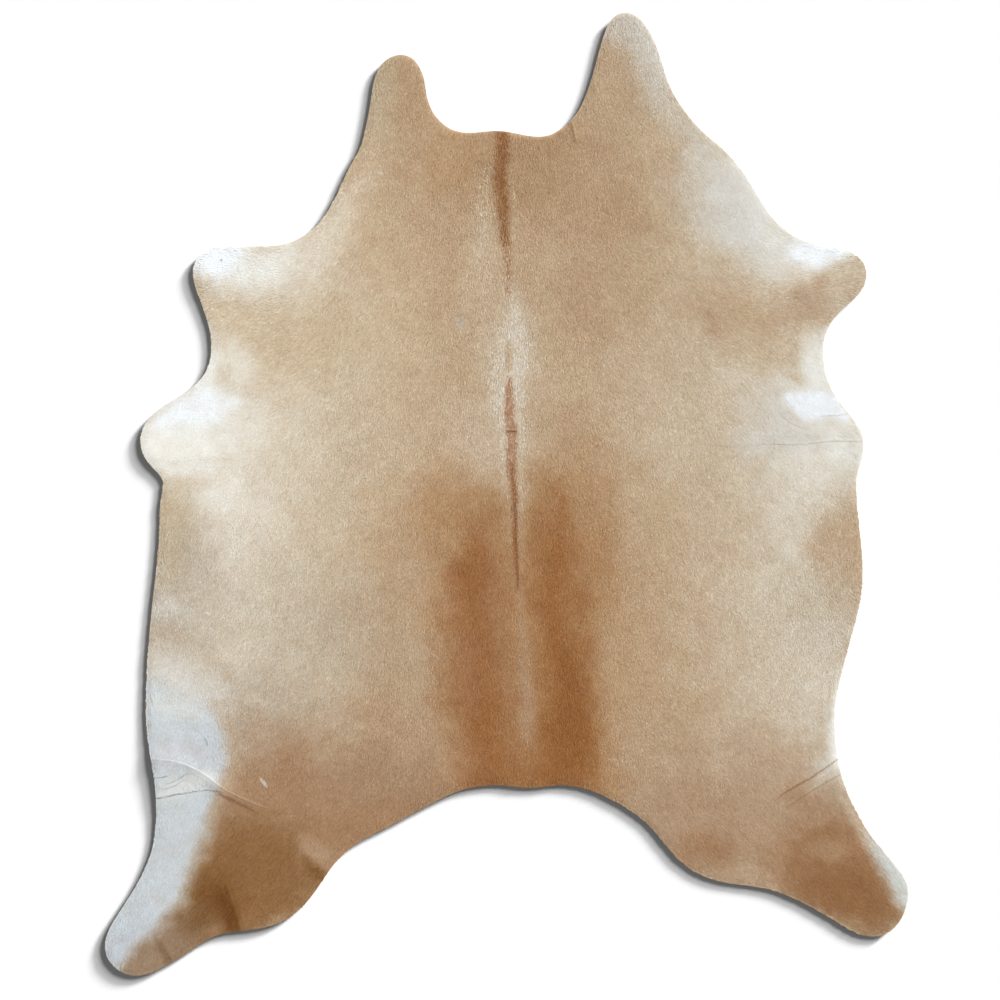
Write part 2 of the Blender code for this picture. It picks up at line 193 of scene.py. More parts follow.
PATCHES = (
    Patch("left side, upper", -395, 235, 260, 240, Tone.PALE, 0.18, 0.55),
    Patch("right shoulder, pale", 480, 560, 75, 60, Tone.PALE, 0.3),
    Patch("right ribs, warm", 168, 150, 60, 60, Tone.HONEY, 0.22),
    Patch("right armpit, pale inside", 516, 290, 40, 40, Tone.PALE, 0.35),
    Patch("left of the spine", -65, 140, 75, 100, Tone.PALE, 0.33),
    Patch("left ribs", -238, 82, 70, 70, Tone.BEIGE, 0.3),
    Patch("left of the withers", -48, 430, 55, 120, Tone.PALE, 0.2),
    Patch("left of the withers, high", -60, 575, 34, 62, Tone.BEIGE, 0.4),
    Patch("right of the spine", 75, 330, 60, 260, Tone.PALE, 0.1),
    Patch("right side, upper", 390, 180, 260, 190, Tone.PALE, 0.21),
    Patch("right side, fold line", 536, 119, 50, 45, Tone.SAND, 0.3),
    Patch("right side, low, pale", 520, -130, 130, 90, Tone.PALE, 0.28),
    Patch("right forearm, low", 540, 350, 104, 58, Tone.SAND, 0.9, 0.7),
    Patch("right shoulder, tan", 497, 473, 50, 45, Tone.BUFF, 0.55),
    Patch("right forearm, pale", 628, 522, 34, 26, Tone.CREAM, 0.4),
    Patch("neck", 65, 765, 190, 125, Tone.NECK_TAN, 0.75, 0.6),
    Patch("neck, right, pale", 180, 722, 45, 50, Tone.WHEAT, 0.45),
    Patch("neck, right, low", 252, 632, 70, 60, Tone.NECK_TAN, 0.5),
    Patch("neck, left", -145, 760, 80, 80, Tone.HONEY, 0.34),
    Patch("neck, left corner", -238, 812, 50, 45, Tone.SAND, 0.35),
    Patch("between the shoulders", 200, 480, 130, 105, Tone.FAWN, 0.15, 0.7, turn=-10),
    Patch("left flap", -222, 920, 45, 110, Tone.NECK_TAN, 0.5, 0.7),
    Patch("left flap, outer side", -300, 940, 40, 120, Tone.OLIVE, 0.6, 0.7),
    Patch("right flap", 245, 930, 90, 150, Tone.BUFF, 0.7, 0.6),
    Patch("right flap, tip", 280, 1075, 70, 50, Tone.ASH, 0.7),
    Patch("right flap, pale side", 338, 995, 54, 125, Tone.ASH, 0.95, turn=20),
    Patch("right withers, grey", 425, 690, 50, 70, Tone.ASH, 0.35, turn=30),
    Patch("left forearm", -470, 360, 190, 95, Tone.FOREARM, 0.85, 0.7),
    Patch("left armpit, pale", -622, 300, 38, 60, Tone.CREAM, 0.5),
    Patch("left flank, pale", -645, -50, 105, 160, Tone.PALE, 0.68, turn=10),
    Patch("left flank, palest", -650, 5, 70, 60, Tone.CREAM, 0.42),
    Patch("left belly", -770, -90, 52, 110, Tone.OLIVE, 0.9, 0.6),
    Patch("left belly, inner", -710, -160, 55, 90, Tone.DRAB, 0.55),
    Patch("left belly, grey", -775, -262, 55, 36, Tone.PEARL, 0.6),
    Patch("left belly, low", -740, -315, 90, 36, Tone.DRAB, 0.4),
    Patch("left flank, grey", -657, -249, 45, 45, Tone.TAUPE, 0.4),
    Patch("left side, low", -420, -370, 290, 190, Tone.DRAB, 0.5),
    Patch("left hock, beside", -585, -520, 95, 100, Tone.DRAB, 0.65),
    Patch("left hock, pale beside", -668, -478, 44, 44, Tone.PEARL, 0.75),
    Patch("left flank, low", -600, -320, 90, 60, Tone.SHELL, 0.5),
    Patch("left flank, inner", -536, -182, 60, 60, Tone.SHELL, 0.3),
    Patch("left loin", -225, -230, 95, 210, Tone.HONEY, 0.2),
    Patch("left side, warm", -280, -490, 66, 95, Tone.HONEY, 0.3),
    Patch("left loin, pale", -179, -295, 46, 75, Tone.WHEAT, 0.35),
    Patch("rump, upper right", 170, 5, 86, 100, Tone.HONEY, 0.64, 0.7),
    Patch("rump, right side", 206, -155, 44, 90, Tone.CARAMEL, 0.45),
    Patch("rump, upper left", -130, -40, 76, 96, Tone.HONEY, 0.65, 0.7),
    Patch("tail root, left", -212, -660, 60, 46, Tone.TAN, 0.8),
    Patch("right flank, cream", 775, 105, 105, 92, Tone.CREAM, 0.85, 0.7),
    Patch("right elbow, above", 640, 246, 34, 26, Tone.CREAM, 0.4),
    Patch("right flank, inner", 684, -86, 50, 60, Tone.PALE, 0.45),
    Patch("right flank, cream, inner", 718, 62, 64, 48, Tone.CREAM, 0.5),
    Patch("right flank, upper", 630, 155, 80, 90, Tone.PEARL, 0.7),
    Patch("right flank, pale", 665, 10, 80, 60, Tone.PALE, 0.7, turn=30),
    Patch("right belly", 774, -145, 80, 140, Tone.BUFF, 0.85, 0.5),
    Patch("right belly, upper rim", 735, 5, 60, 50, Tone.PALE, 0.5),
    Patch("right belly, low", 705, -285, 105, 100, Tone.TAUPE, 0.8, 0.7),
    Patch("right belly, olive", 716, -240, 48, 45, Tone.OLIVE, 0.55),
    Patch("right belly, lowest", 735, -400, 60, 70, Tone.PALE, 0.5),
    Patch("right side, low", 370, -340, 210, 270, Tone.HONEY, 0.36),
    Patch("rump corner, right", 246, -655, 50, 36, Tone.HONEY, 0.35),
    Patch("right buttock, pale", 300, -573, 60, 50, Tone.TAN, 0.35),
    Patch("right flank, low", 560, -330, 170, 160, Tone.SHELL, 0.5),
    Patch("left thigh", -400, -725, 350, 190, Tone.THIGH, 0.98, 0.6, turn=-6),
    Patch("left buttock", -370, -780, 150, 55, Tone.UMBER, 0.6, turn=18),
    Patch("left buttock, upper", -426, -722, 60, 42, Tone.UMBER, 0.35),
    Patch("left thigh, reddish", -535, -650, 85, 50, Tone.UMBER, 0.4, turn=-10),
    Patch("left leg", -585, -872, 160, 140, Tone.COCOA, 0.95, 0.45, turn=-15),
    Patch("left leg, outer", -685, -968, 150, 104, Tone.COCOA, 0.9, 0.42, turn=28),
    Patch("left leg, dark", -672, -925, 60, 62, Tone.DARK_BROWN, 0.45, turn=30),
    Patch("left leg, pale", -435, -820, 45, 26, Tone.FAWN, 0.95, 0.6, turn=-45),
    Patch("left tip", -792, -1044, 125, 62, Tone.KHAKI, 0.9, 0.5, turn=32),
    Patch("left tip, upper side", -810, -1010, 42, 24, Tone.KHAKI, 0.85, turn=32),
    Patch("left leg, low", -700, -968, 50, 26, Tone.DARK_BROWN, 0.45, turn=32),
    Patch("left leg, beside the wedge", -592, -972, 24, 26, Tone.UMBER, 0.35, turn=10),
    Patch("left leg, by the rim", -655, -998, 26, 14, Tone.THIGH, 0.6, turn=12),
    Patch("right thigh", 515, -770, 350, 200, Tone.THIGH_TAN, 0.98, 0.6, turn=-8),
    Patch("right hock, upper", 650, -600, 60, 46, Tone.BUFF, 0.5),
    Patch("right hock, warm", 671, -608, 40, 34, Tone.FAWN, 0.35),
    Patch("right hock, pale rim", 742, -622, 40, 26, Tone.PEARL, 0.6),
    Patch("right thigh, warm, outer", 702, -710, 60, 36, Tone.UMBER, 0.5, turn=-20),
    Patch("right thigh, warm", 450, -728, 140, 70, Tone.FAWN, 0.6, 0.7, turn=-8),
    Patch("right thigh, dimple", 460, -815, 75, 40, Tone.UMBER, 0.75),
    Patch("right shank", 765, -856, 144, 122, Tone.UMBER, 0.95, 0.42, turn=-22),
    Patch("right shank, inner side", 622, -808, 50, 45, Tone.UMBER, 0.35),
    Patch("right shank, heart", 785, -920, 115, 66, Tone.BROWN, 0.95, 0.6, turn=-25),
    Patch("right shank, light spot", 738, -815, 44, 24, Tone.BUFF, 0.3, 0.7, turn=-20),
    Patch("right shank, outer heart", 812, -862, 44, 40, Tone.BROWN, 0.6, turn=-40),
)

STREAKS = (
    Streak("rump, glow", ((66, -30, 80), (44, -85, 168), (31, -200, 203), (36, -400, 174), (66, -660, 182)),
           Tone.HONEY, 0.92, 75),
    Streak("left rump", ((-66, -80, 10), (-60, -165, 56), (-60, -270, 62), (-60, -480, 78),
           (-46, -640, 66)), Tone.SADDLE, 1.0, 60),
    Streak("left rump, deep", ((-68, -120, 20), (-78, -210, 36), (-62, -300, 16), (-48, -420, 14),
           (-46, -520, 36), (-30, -610, 28)), Tone.CARAMEL, 0.9, 42),
    Streak("right rump", ((118, 0, 2), (113, -120, 42), (118, -300, 52), (132, -480, 62), (117, -640, 74)),
           Tone.CARAMEL, 1.0, 60),
    Streak("right rump, deep", ((140, -380, 10), (150, -500, 30), (150, -600, 30)), Tone.DEEP_CARAMEL, 0.8,
           50),
    Streak("rump, rim", ((-80, -655, 14), (20, -650, 24), (90, -655, 14)), Tone.CARAMEL, 0.7, 30),
    Streak("rump, spine", ((30, -230, 3), (35, -320, 8), (42, -430, 14), (48, -510, 18), (50, -565, 8)),
           Tone.PINK_TAN, 0.95, 16),
    Streak("right margin", ((420, 860, 4), (460, 780, 30), (500, 700, 76), (550, 640, 96), (600, 585, 64)),
           Tone.PEARL, 0.9, 70),
    Streak("right margin, rim", ((490, 790, 4), (530, 745, 20), (575, 680, 28), (610, 600, 34)), Tone.CREAM,
           0.7, 40),
    Streak("right fore shank, white", ((668, 552, 26), (712, 546, 34), (770, 566, 22)), Tone.WHITE, 1.0,
           20),
    Streak("right forearm", ((430, 440, 30), (520, 410, 46), (620, 405, 46), (700, 420, 30)), Tone.BUFF,
           0.9, 45),
    Streak("right fore shank, tan", ((690, 445, 30), (755, 480, 34), (815, 510, 30)), Tone.TAN_PALE, 0.95,
           22),
    Streak("right fore shank, brown", ((672, 462, 26), (702, 436, 32), (722, 480, 14)), Tone.NUTBROWN, 0.8,
           28),
    Streak("right armpit", ((735, 375, 2), (716, 345, 18), (702, 300, 34), (707, 245, 30)), Tone.CREAM,
           0.95, 26),
    Streak("right armpit, spot", ((640, 276, 8), (668, 262, 8)), Tone.SAND, 0.75, 14),
    Streak("right armpit, white", ((708, 320, 6), (700, 285, 14), (704, 245, 20)), Tone.CREAM, 0.8, 20),
    Streak("right elbow, white", ((652, 222, 16), (690, 208, 34), (735, 202, 34), (768, 178, 12)),
           Tone.WHITE, 1.0, 15),
    Streak("reddish spot", ((470, 408, 12), (476, 378, 14)), Tone.FAWN, 0.8, 24),
    Streak("right hock margin", ((752, -430, 2), (750, -520, 12), (754, -590, 16), (780, -650, 8),
           (805, -700, 4)), Tone.CREAM, 0.9, 16),
    Streak("right hock, pale", ((772, -640, 18), (735, -648, 14), (690, -680, 4)), Tone.SHELL, 0.75, 22),
    Streak("right shank tip, white", ((822, -768, 4), (868, -838, 22), (902, -885, 32), (908, -925, 22)),
           Tone.SMOKE, 1.0, 20),
    Streak("right shank, pale rim", ((768, -690, 3), (798, -745, 8), (824, -790, 8)), Tone.SHELL, 0.7, 16),
    Streak("right shank, ring", ((662, -850, 8), (672, -805, 9), (705, -776, 9), (755, -764, 9),
           (790, -775, 6)), Tone.BROWN, 0.35, 16),
    Streak("left margin", ((-345, 700, -4), (-370, 650, 4), (-430, 565, 52), (-500, 485, 46),
           (-580, 450, 34)), Tone.PALE, 0.75, 60),
    Streak("left fore shank, cream", ((-690, 545, 26), (-620, 525, 46), (-560, 515, 46), (-505, 550, 24)),
           Tone.CREAM, 0.95, 36),
    Streak("left fore shank, white", ((-690, 536, 30), (-655, 534, 38), (-620, 546, 24)), Tone.WHITE, 1.0,
           20),
    Streak("left fore shank, tan", ((-715, 492, 4), (-700, 455, 20), (-650, 420, 26), (-590, 398, 28)),
           Tone.FAIR, 0.85, 22),
    Streak("left armpit", ((-690, 380, 6), (-676, 330, 14), (-672, 285, 22), (-700, 245, 22)), Tone.CREAM,
           0.95, 22),
    Streak("left armpit, spot", ((-644, 285, 6), (-640, 264, 6)), Tone.BEIGE, 0.6, 18),
    Streak("left elbow, cream", ((-800, 115, 60), (-720, 110, 70), (-640, 135, 56), (-585, 155, 32)),
           Tone.IVORY, 0.95, 55),
    Streak("left elbow, cream rim", ((-800, 108, 40), (-725, 100, 46)), Tone.CREAM, 0.85, 36),
    Streak("left elbow, white", ((-625, 205, 18), (-690, 200, 44), (-755, 184, 34), (-800, 158, 10)),
           Tone.BRIGHT, 0.95, 26),
    Streak("left elbow, edge", ((-800, 25, 10), (-740, 22, 14), (-690, 25, 4)), Tone.BEIGE, 0.8, 22),
    Streak("left elbow, faint line", ((-800, 78, 1), (-740, 76, 3), (-610, 82, 2)), Tone.SHELL, 0.3, 9),
    Streak("left hock, upper", ((-830, -410, 30), (-760, -415, 40), (-700, -445, 30)), Tone.PEARL, 0.9, 50),
    Streak("left hock and shank, white", ((-800, -470, 40), (-758, -535, 90), (-738, -600, 93),
           (-752, -680, 88), (-770, -760, 86), (-794, -840, 80), (-816, -900, 82), (-852, -960, 62),
           (-890, -1008, 42), (-925, -1060, 30)), Tone.COOL_WHITE, 1.0, 26),
    Streak("left hock, inner edge", ((-655, -500, 10), (-634, -580, 10), (-638, -660, 12),
           (-664, -735, 10)), Tone.BEIGE, 0.3, 24),
    Streak("left shank, inner edge", ((-676, -745, 10), (-696, -805, 14), (-718, -870, 14),
           (-745, -935, 8)), Tone.DRAB, 0.55, 26),
    Streak("left hock, top", ((-800, -470, 20), (-740, -482, 30), (-705, -500, 16)), Tone.MILK, 0.8, 34),
    Streak("left hock, grey", ((-805, -592, 24), (-745, -588, 36), (-690, -600, 20)), Tone.SILVER, 1.0, 40),
    Streak("left hock, below the crest", ((-790, -690, 16), (-735, -672, 24), (-682, -652, 18)), Tone.MILK,
           0.85, 22),
    Streak("left shank tip, slate", ((-845, -960, 22), (-885, -1030, 34), (-915, -1060, 20)), Tone.SLATE,
           0.9, 35),
    Streak("left leg, wedge", ((-654, -902, 4), (-642, -940, 14), (-628, -990, 15)), Tone.DARK_BROWN, 0.95,
           20),
    Streak("left leg, edge of the wedge", ((-641, -900, 3), (-627, -945, 6), (-613, -992, 6)),
           Tone.DARK_BROWN, 0.75, 7),
    Streak("left leg, fold spot", ((-415, -885, 6), (-440, -862, 12), (-455, -842, 5)), Tone.DARK_BROWN,
           0.6, 14),
    # Painted shade: the dark line of a crease across the left tip.
    Streak("left tip, line", ((-804, -1014, 1), (-789, -1038, 6), (-772, -1066, 6)), Tone.BARK, 0.6, 9),
    Streak("spine, pale sides", ((8, 480, 14), (12, 400, 52), (6, 290, 70), (8, 190, 42), (16, 80, 26),
           (22, -30, 22), (25, -90, 8)), Tone.BEIGE, 0.57, 34),
    Streak("withers, pale", ((14, 420, 4), (15, 350, 24), (16, 270, 16)), Tone.PALE, 0.36, 24),
    Streak("loin, pale sides", ((24, -60, 14), (27, -140, 12), (30, -235, 8)), Tone.PINK_TAN, 0.5, 14),
    Streak("stripe, neck halo", ((-13, 840, 20), (-13, 740, 18), (-12, 650, 14), (-5, 580, 8)), Tone.UMBER,
           0.55, 15),
    Streak("stripe, neck", ((-10, 835, 6), (-9, 740, 5), (-6, 660, 4), (-1, 600, 2)), Tone.CHESTNUT, 0.3,
           9),
)

# Here the strength says how many of the hairs have the tone.
FLECKS = (
    Streak("stripe, neck, speckled", ((-12, 840, 14), (-14, 740, 17), (-13, 660, 17), (-7, 600, 11),
           (1, 530, 6), (3, 470, 3)), Tone.CHESTNUT, 0.6, 13),
    Streak("neck, right of the stripe", ((12, 740, 4), (16, 660, 8), (14, 590, 6)), Tone.BEIGE, 0.3, 12),
    Streak("pale run, left", ((-48, 745, 12), (-52, 650, 22), (-58, 560, 20), (-56, 480, 8)), Tone.BEIGE,
           0.45, 30),
    Streak("frost", ((2, 470, 2), (12, 420, 10), (16, 360, 34), (8, 300, 50), (4, 225, 46), (8, 130, 30),
           (14, 30, 20), (20, -50, 8), (23, -90, -4)), Tone.FROST, 0.4, 26),
    Streak("frost, left", ((-24, 330, 4), (-28, 280, 12), (-28, 210, 10), (-20, 150, 4)), Tone.FROST, 0.4,
           16),
    Streak("frost, right", ((20, 410, 6), (28, 370, 14), (32, 300, 9), (36, 220, 6)), Tone.FROST, 0.55, 16),
    Streak("stripe, pale run", ((0, 560, 5), (1, 500, 6), (2, 450, 3)), Tone.RUSSET, 0.6, 8),
    Streak("stripe, faint", ((4, 345, 5), (5, 290, 8)), Tone.BUFF, 0.6, 7),
    Streak("stripe, back", ((6, 262, 6), (6, 200, 11), (10, 140, 14), (13, 60, 12), (18, -30, 10),
           (20, -110, 7), (25, -210, 3)), Tone.RUSSET, 0.74, 8),
    Streak("stripe, loin", ((14, 70, 3), (16, 10, 6), (18, -60, 8), (20, -120, 6), (26, -215, 2)),
           Tone.CHESTNUT, 0.62, 6),
)

SPECKS = (
    # Painted shade: dark lines in the grooves of the right hock's folds.
    Streak("right hock, upper line", ((757, -605, 0.8), (702, -644, 1.6), (640, -680, 1.8),
           (614, -700, 0.8)), Tone.RUST, 0.5, 2.5),
    Streak("right hock, lower line", ((768, -638, 0.6), (700, -677, 1.4), (640, -716, 1.0)), Tone.CHESTNUT,
           0.45, 2.5),
    # Painted shade in the trough below the left hock's crest.
    Streak("left hock, dark line", ((-656, -686, 2.0), (-630, -698, 2.2), (-600, -713, 1.8),
           (-568, -730, 0.6)), Tone.RUST, 0.6, 3),
    # Painted highlight on the left hock's crest.
    Streak("left hock, crest", ((-800, -606, 0.6), (-750, -612, 1.2), (-690, -640, 1.4), (-655, -667, 0.8)),
           Tone.BRIGHT, 0.6, 2.5),
    # Painted highlight where the crest runs on inwards.
    Streak("left hock, light line", ((-650, -672, 0.8), (-610, -690, 1.4), (-575, -705, 1.2),
           (-535, -722, 0.5)), Tone.FAIR, 0.35, 2.5),
    Streak("spine, cross notch", ((1, 143, 2.4), (20, 143, 2.4)), Tone.CHESTNUT, 0.9, 2),
    Streak("spine, cross line", ((-6, 147, 0.8), (26, 147, 0.8)), Tone.FROST, 0.7, 1.5),
    Streak("spine, blue-grey fleck", ((12, -32, 2), (15, -40, 2)), Tone.INK, 0.6, 3),
    Streak("spine, thin line", ((19, -70, 0.5), (21, -110, 1.8), (23, -150, 1.8), (27, -212, 0.8)),
           Tone.RUST, 0.5, 3),
    Streak("left fore shank, pin dot", ((-651, 535, 1.4), (-651, 533, 1.4)), Tone.INK, 0.8, 2),
    Streak("back, grey speck", ((-111, 402, 4), (-106, 385, 5)), Tone.SLATE, 0.45, 5),
    Streak("neck, pale speck", ((-292, 736, 3), (-286, 732, 3)), Tone.PALE, 0.7, 4),
    Streak("left flank, pale speck", ((-685, -271, 2), (-680, -274, 2)), Tone.CREAM, 0.9, 3),
    Streak("left side, pale speck", ((-383, -257, 1.5), (-379, -259, 1.5)), Tone.CREAM, 0.5, 3),
    Streak("left thigh, scar", ((-560, -652, 3), (-553, -660, 4), (-548, -668, 2)), Tone.PEARL, 0.85, 3),
    Streak("left thigh, small spot", ((-508, -612, 5), (-498, -606, 5)), Tone.BROWN, 0.4, 8),
    Streak("left hock, nick", ((-692, -556, 0.3), (-686, -566, 1.0), (-684, -573, 1.6)), Tone.INK, 0.6, 2),
    Streak("left elbow, small stroke", ((-598, 170, 0.8), (-586, 175, 0.8)), Tone.TAUPE, 0.8, 2),
)


# ---------------------------------------------------------------------------
# How the hair lies, and the small folds of the skin
# ---------------------------------------------------------------------------


class LieGuide(NamedTuple):
    """Which way the hair lies at one place."""

    place: str
    x: float
    y: float
    heading: float


class Wrinkle(NamedTuple):
    """A narrow fold of the skin: a ridge where rise is positive, else a groove."""

    place: str
    path: tuple[tuple[float, float], ...]
    rise: float
    half_width: float
    from_rim: bool  # True: at full height where the path starts
    shade: float  # painted shade: how much darker the coat's colour is made along the fold; below 0 a painted highlight


LIE_GUIDES = (
    LieGuide("neck, spine", -5, 800, -90),
    LieGuide("withers, spine", 0, 560, -90),
    LieGuide("back, spine", 10, 250, -90),
    LieGuide("loin, spine", 20, -100, -90),
    LieGuide("rump, spine", 30, -420, -90),
    LieGuide("tail root", 20, -650, -90),
    LieGuide("left flap", -245, 940, -96),
    LieGuide("left neck", -200, 720, -103),
    LieGuide("left shoulder", -330, 480, -118),
    LieGuide("left withers edge", -400, 640, -130),
    LieGuide("left forearm", -540, 440, -165),
    LieGuide("left fore shank", -660, 520, 180),
    LieGuide("left armpit", -650, 320, -125),
    LieGuide("left elbow", -700, 170, -145),
    LieGuide("left elbow tip", -810, 110, -150),
    LieGuide("left ribs", -300, 200, -104),
    LieGuide("left side", -320, -150, -102),
    LieGuide("left flank", -600, -40, -108),
    LieGuide("left belly", -770, -150, -98),
    LieGuide("left belly, low", -760, -360, -100),
    LieGuide("left rump", -160, -500, -98),
    LieGuide("left thigh", -420, -560, -112),
    LieGuide("left hock", -700, -620, -112),
    LieGuide("left hind shank", -790, -860, -113),
    LieGuide("left shank tip", -860, -1040, -118),
    LieGuide("left knee", -600, -900, -130),
    LieGuide("left buttock", -350, -780, -128),
    LieGuide("right flap", 275, 1000, -82),
    LieGuide("right neck", 230, 740, -76),
    LieGuide("right shoulder", 360, 500, -62),
    LieGuide("right withers edge", 520, 700, -48),
    LieGuide("right forearm", 600, 460, -22),
    LieGuide("right fore shank", 730, 520, -5),
    LieGuide("right armpit", 690, 320, -50),
    LieGuide("right elbow", 720, 180, -38),
    LieGuide("right ribs", 320, 200, -76),
    LieGuide("right side", 340, -150, -78),
    LieGuide("right flank", 620, -40, -72),
    LieGuide("right belly", 780, -150, -82),
    LieGuide("right belly, low", 720, -380, -80),
    LieGuide("right rump", 220, -520, -82),
    LieGuide("right thigh", 460, -600, -66),
    LieGuide("right hock", 680, -660, -52),
    LieGuide("right hind shank", 790, -820, -48),
    LieGuide("right shank tip", 870, -930, -50),
    LieGuide("right knee", 620, -860, -40),
    LieGuide("right buttock", 380, -770, -50),
)

# The last column paints shade into the coat's colour along each fold, and a painted highlight where it is
# below 0, as on the crests.
WRINKLES = (
    Wrinkle("left hock, crest of the fold", ((-818, -604), (-780, -607), (-750, -612), (-720, -624),
            (-690, -640), (-665, -660), (-640, -677), (-610, -692), (-575, -708), (-530, -726)), 0.14, 3.5,
            True, -0.05),
    Wrinkle("left hock, trough below the crest", ((-652, -688), (-630, -697), (-600, -712), (-560, -735)),
            -0.15, 3.0, False, 0.10),
    Wrinkle("left hock, upper fine line", ((-806, -649), (-785, -647), (-768, -643)), -0.15, 2.4, True,
            0.42),
    Wrinkle("left hock, middle fine line", ((-800, -661), (-772, -661), (-748, -650), (-732, -640),
            (-712, -640)), -0.1, 2.6, False, 0.22),
    Wrinkle("left hock, second fine line", ((-796, -676), (-765, -670), (-742, -657), (-728, -650)), -0.1,
            2.6, False, 0.22),
    Wrinkle("left hock, lower fine line", ((-808, -697), (-780, -693), (-757, -687), (-732, -684),
            (-705, -679), (-680, -677)), -0.2, 2.8, True, 0.50),
    Wrinkle("left hock, lower line, inner part", ((-708, -680), (-685, -677), (-665, -679), (-640, -686)),
            -0.12, 2.8, False, 0.32),
    Wrinkle("right hock, upper line", ((757, -605), (738, -619), (702, -644), (665, -665), (640, -680),
            (614, -700)), -0.2, 3.2, True, 0.12),
    Wrinkle("right hock, lower line", ((768, -638), (740, -652), (700, -677), (665, -700), (640, -716)),
            -0.18, 4.0, True, 0.04),
    Wrinkle("right hock, swell between the lines", ((760, -625), (725, -642), (690, -664), (655, -688)),
            0.15, 7.0, True, -0.03),
    Wrinkle("right flank, long line", ((812, 119), (760, 120), (720, 118), (690, 114), (640, 112),
            (600, 114), (560, 110), (520, 109)), -0.1, 3.0, True, 0.15),
    Wrinkle("right flank, long line, far part", ((590, 113), (520, 109), (440, 111), (300, 112)), -0.05,
            3.0, False, 0.05),
    Wrinkle("right elbow, short line", ((788, 185), (762, 180), (735, 178), (700, 178)), -0.1, 2.8, True,
            0.12),
    Wrinkle("right elbow, curved line", ((612, 196), (622, 184), (640, 168), (662, 155), (700, 141)), -0.08,
            2.6, False, 0.09),
    Wrinkle("spine, thin line", ((14, 20), (18, -60), (22, -130), (27, -212)), -0.15, 4.0, False, 0.0),
    Wrinkle("spine, cross notch", ((-8, 144), (6, 143), (24, 142)), -0.3, 3.0, False, 0.05),
    Wrinkle("neck, pucker", ((150, 846), (155, 824), (160, 798)), 0.35, 6.0, True, 0.0),
    Wrinkle("left leg, edge of the wedge", ((-602, -993), (-616, -950), (-632, -900), (-640, -880)), -0.12,
            5.0, True, 0.0),
    Wrinkle("left tip, line", ((-768, -1068), (-784, -1038), (-800, -1012)), -0.12, 4.0, True, 0.05),
)


# ---------------------------------------------------------------------------
# Small tools
# ---------------------------------------------------------------------------


def smooth_step(share: Array) -> Array:
    """Ease from 0 to 1 as share goes from 0 to 1.

    Args:
        share: any values; those beyond 0 and 1 are held at them.

    Returns:
        The eased values.
    """
    held = np.clip(share, 0.0, 1.0)
    return held * held * (3.0 - 2.0 * held)


def linear_light(display: Array) -> Array:
    """Turn display colour values into linear light.

    Args:
        display: values from 0 to 1.

    Returns:
        The same colours as linear light.
    """
    held = np.clip(display, 0.0, 1.0)
    return np.where(held <= 0.04045, held / 12.92, ((held + 0.055) / 1.055) ** 2.4)


def smooth_curve(points: Array, per_span: int, closed: bool = False) -> Array:
    """Draw a smooth curve through points.

    Args:
        points: the knots, one row each, in the plane.
        per_span: how many steps each span is divided into.
        closed: whether the last knot joins the first.

    Returns:
        The points of the curve, one row each.
    """
    knots = [Vector(point) for point in points]
    if closed:
        around = [knots[-1], *knots, knots[0], knots[1]]
    else:
        around = [2 * knots[0] - knots[1], *knots, 2 * knots[-1] - knots[-2]]
    drawn: list[Vector] = []
    for before, start, end, after in zip(around, around[1:], around[2:], around[3:]):
        leave = start + (end - before) / 6
        arrive = end - (after - start) / 6
        drawn.extend(interpolate_bezier(start, leave, arrive, end, per_span + 1)[:-1])
    if not closed:
        drawn.append(knots[-1])
    return np.array([tuple(point) for point in drawn])


def gap_to_path(path: Array, points: Array) -> tuple[Array, Array]:
    """Measure how far points are from a path, and where along it.

    Args:
        path: the path's points, one row each.
        points: the places to measure, one row each.

    Returns:
        The distances, and the shares of the path's length, 0 to 1.
    """
    steps = np.diff(path, axis=0)
    lengths = np.hypot(steps[:, 0], steps[:, 1])
    travel = np.concatenate([[0.0], np.cumsum(lengths)])
    nearest = np.full(len(points), np.inf)
    along = np.zeros(len(points))
    for start, step, length, gone in zip(path, steps, lengths, travel):
        offset = points - start
        share = np.clip(offset @ step / length**2, 0.0, 1.0)
        gap = np.hypot(*(offset - share[:, None] * step).T)
        closer = gap < nearest
        nearest[closer] = gap[closer]
        along[closer] = (gone + share[closer] * length) / travel[-1]
    return nearest, along


def near_path(path: Array, points: Array, reach: float) -> Array:
    """Pick the points in the box round a path.

    Args:
        path: the path's points, one row each.
        points: the places to pick from, one row each.
        reach: how far the box goes beyond the path.

    Returns:
        True for each point in the box.
    """
    low, high = path.min(axis=0) - reach, path.max(axis=0) + reach
    return ((points >= low) & (points <= high)).all(axis=1)


def between(values: Array, start: Array, end: Array, share: Array) -> Array:
    """Blend the four points of a net that lie round each place.

    Args:
        values: the net, one row for each y and one column for each x.
        start: columns and rows of the points before the places.
        end: columns and rows of the points after them.
        share: how far the places are from the first to the second, across and up.

    Returns:
        One value for each place.
    """
    (column, row), (next_column, next_row), (share_x, share_y) = start, end, share
    lower = values[row, column] * (1 - share_x) + values[row, next_column] * share_x
    upper = values[next_row, column] * (1 - share_x) + values[next_row, next_column] * share_x
    return lower * (1 - share_y) + upper * share_y


def even_points(low: Array, high: Array, pitch: float) -> tuple[Array, tuple[int, int]]:
    """Lay out points on an even square net.

    Args:
        low: the net's lowest x and y.
        high: where it ends.
        pitch: the distance between its points.

    Returns:
        The points, one row each, and how many rows and columns they fill.
    """
    grid_x, grid_y = np.meshgrid(*(np.arange(low[axis], high[axis], pitch) for axis in (0, 1)))
    return np.column_stack([grid_x.ravel(), grid_y.ravel()]), grid_x.shape


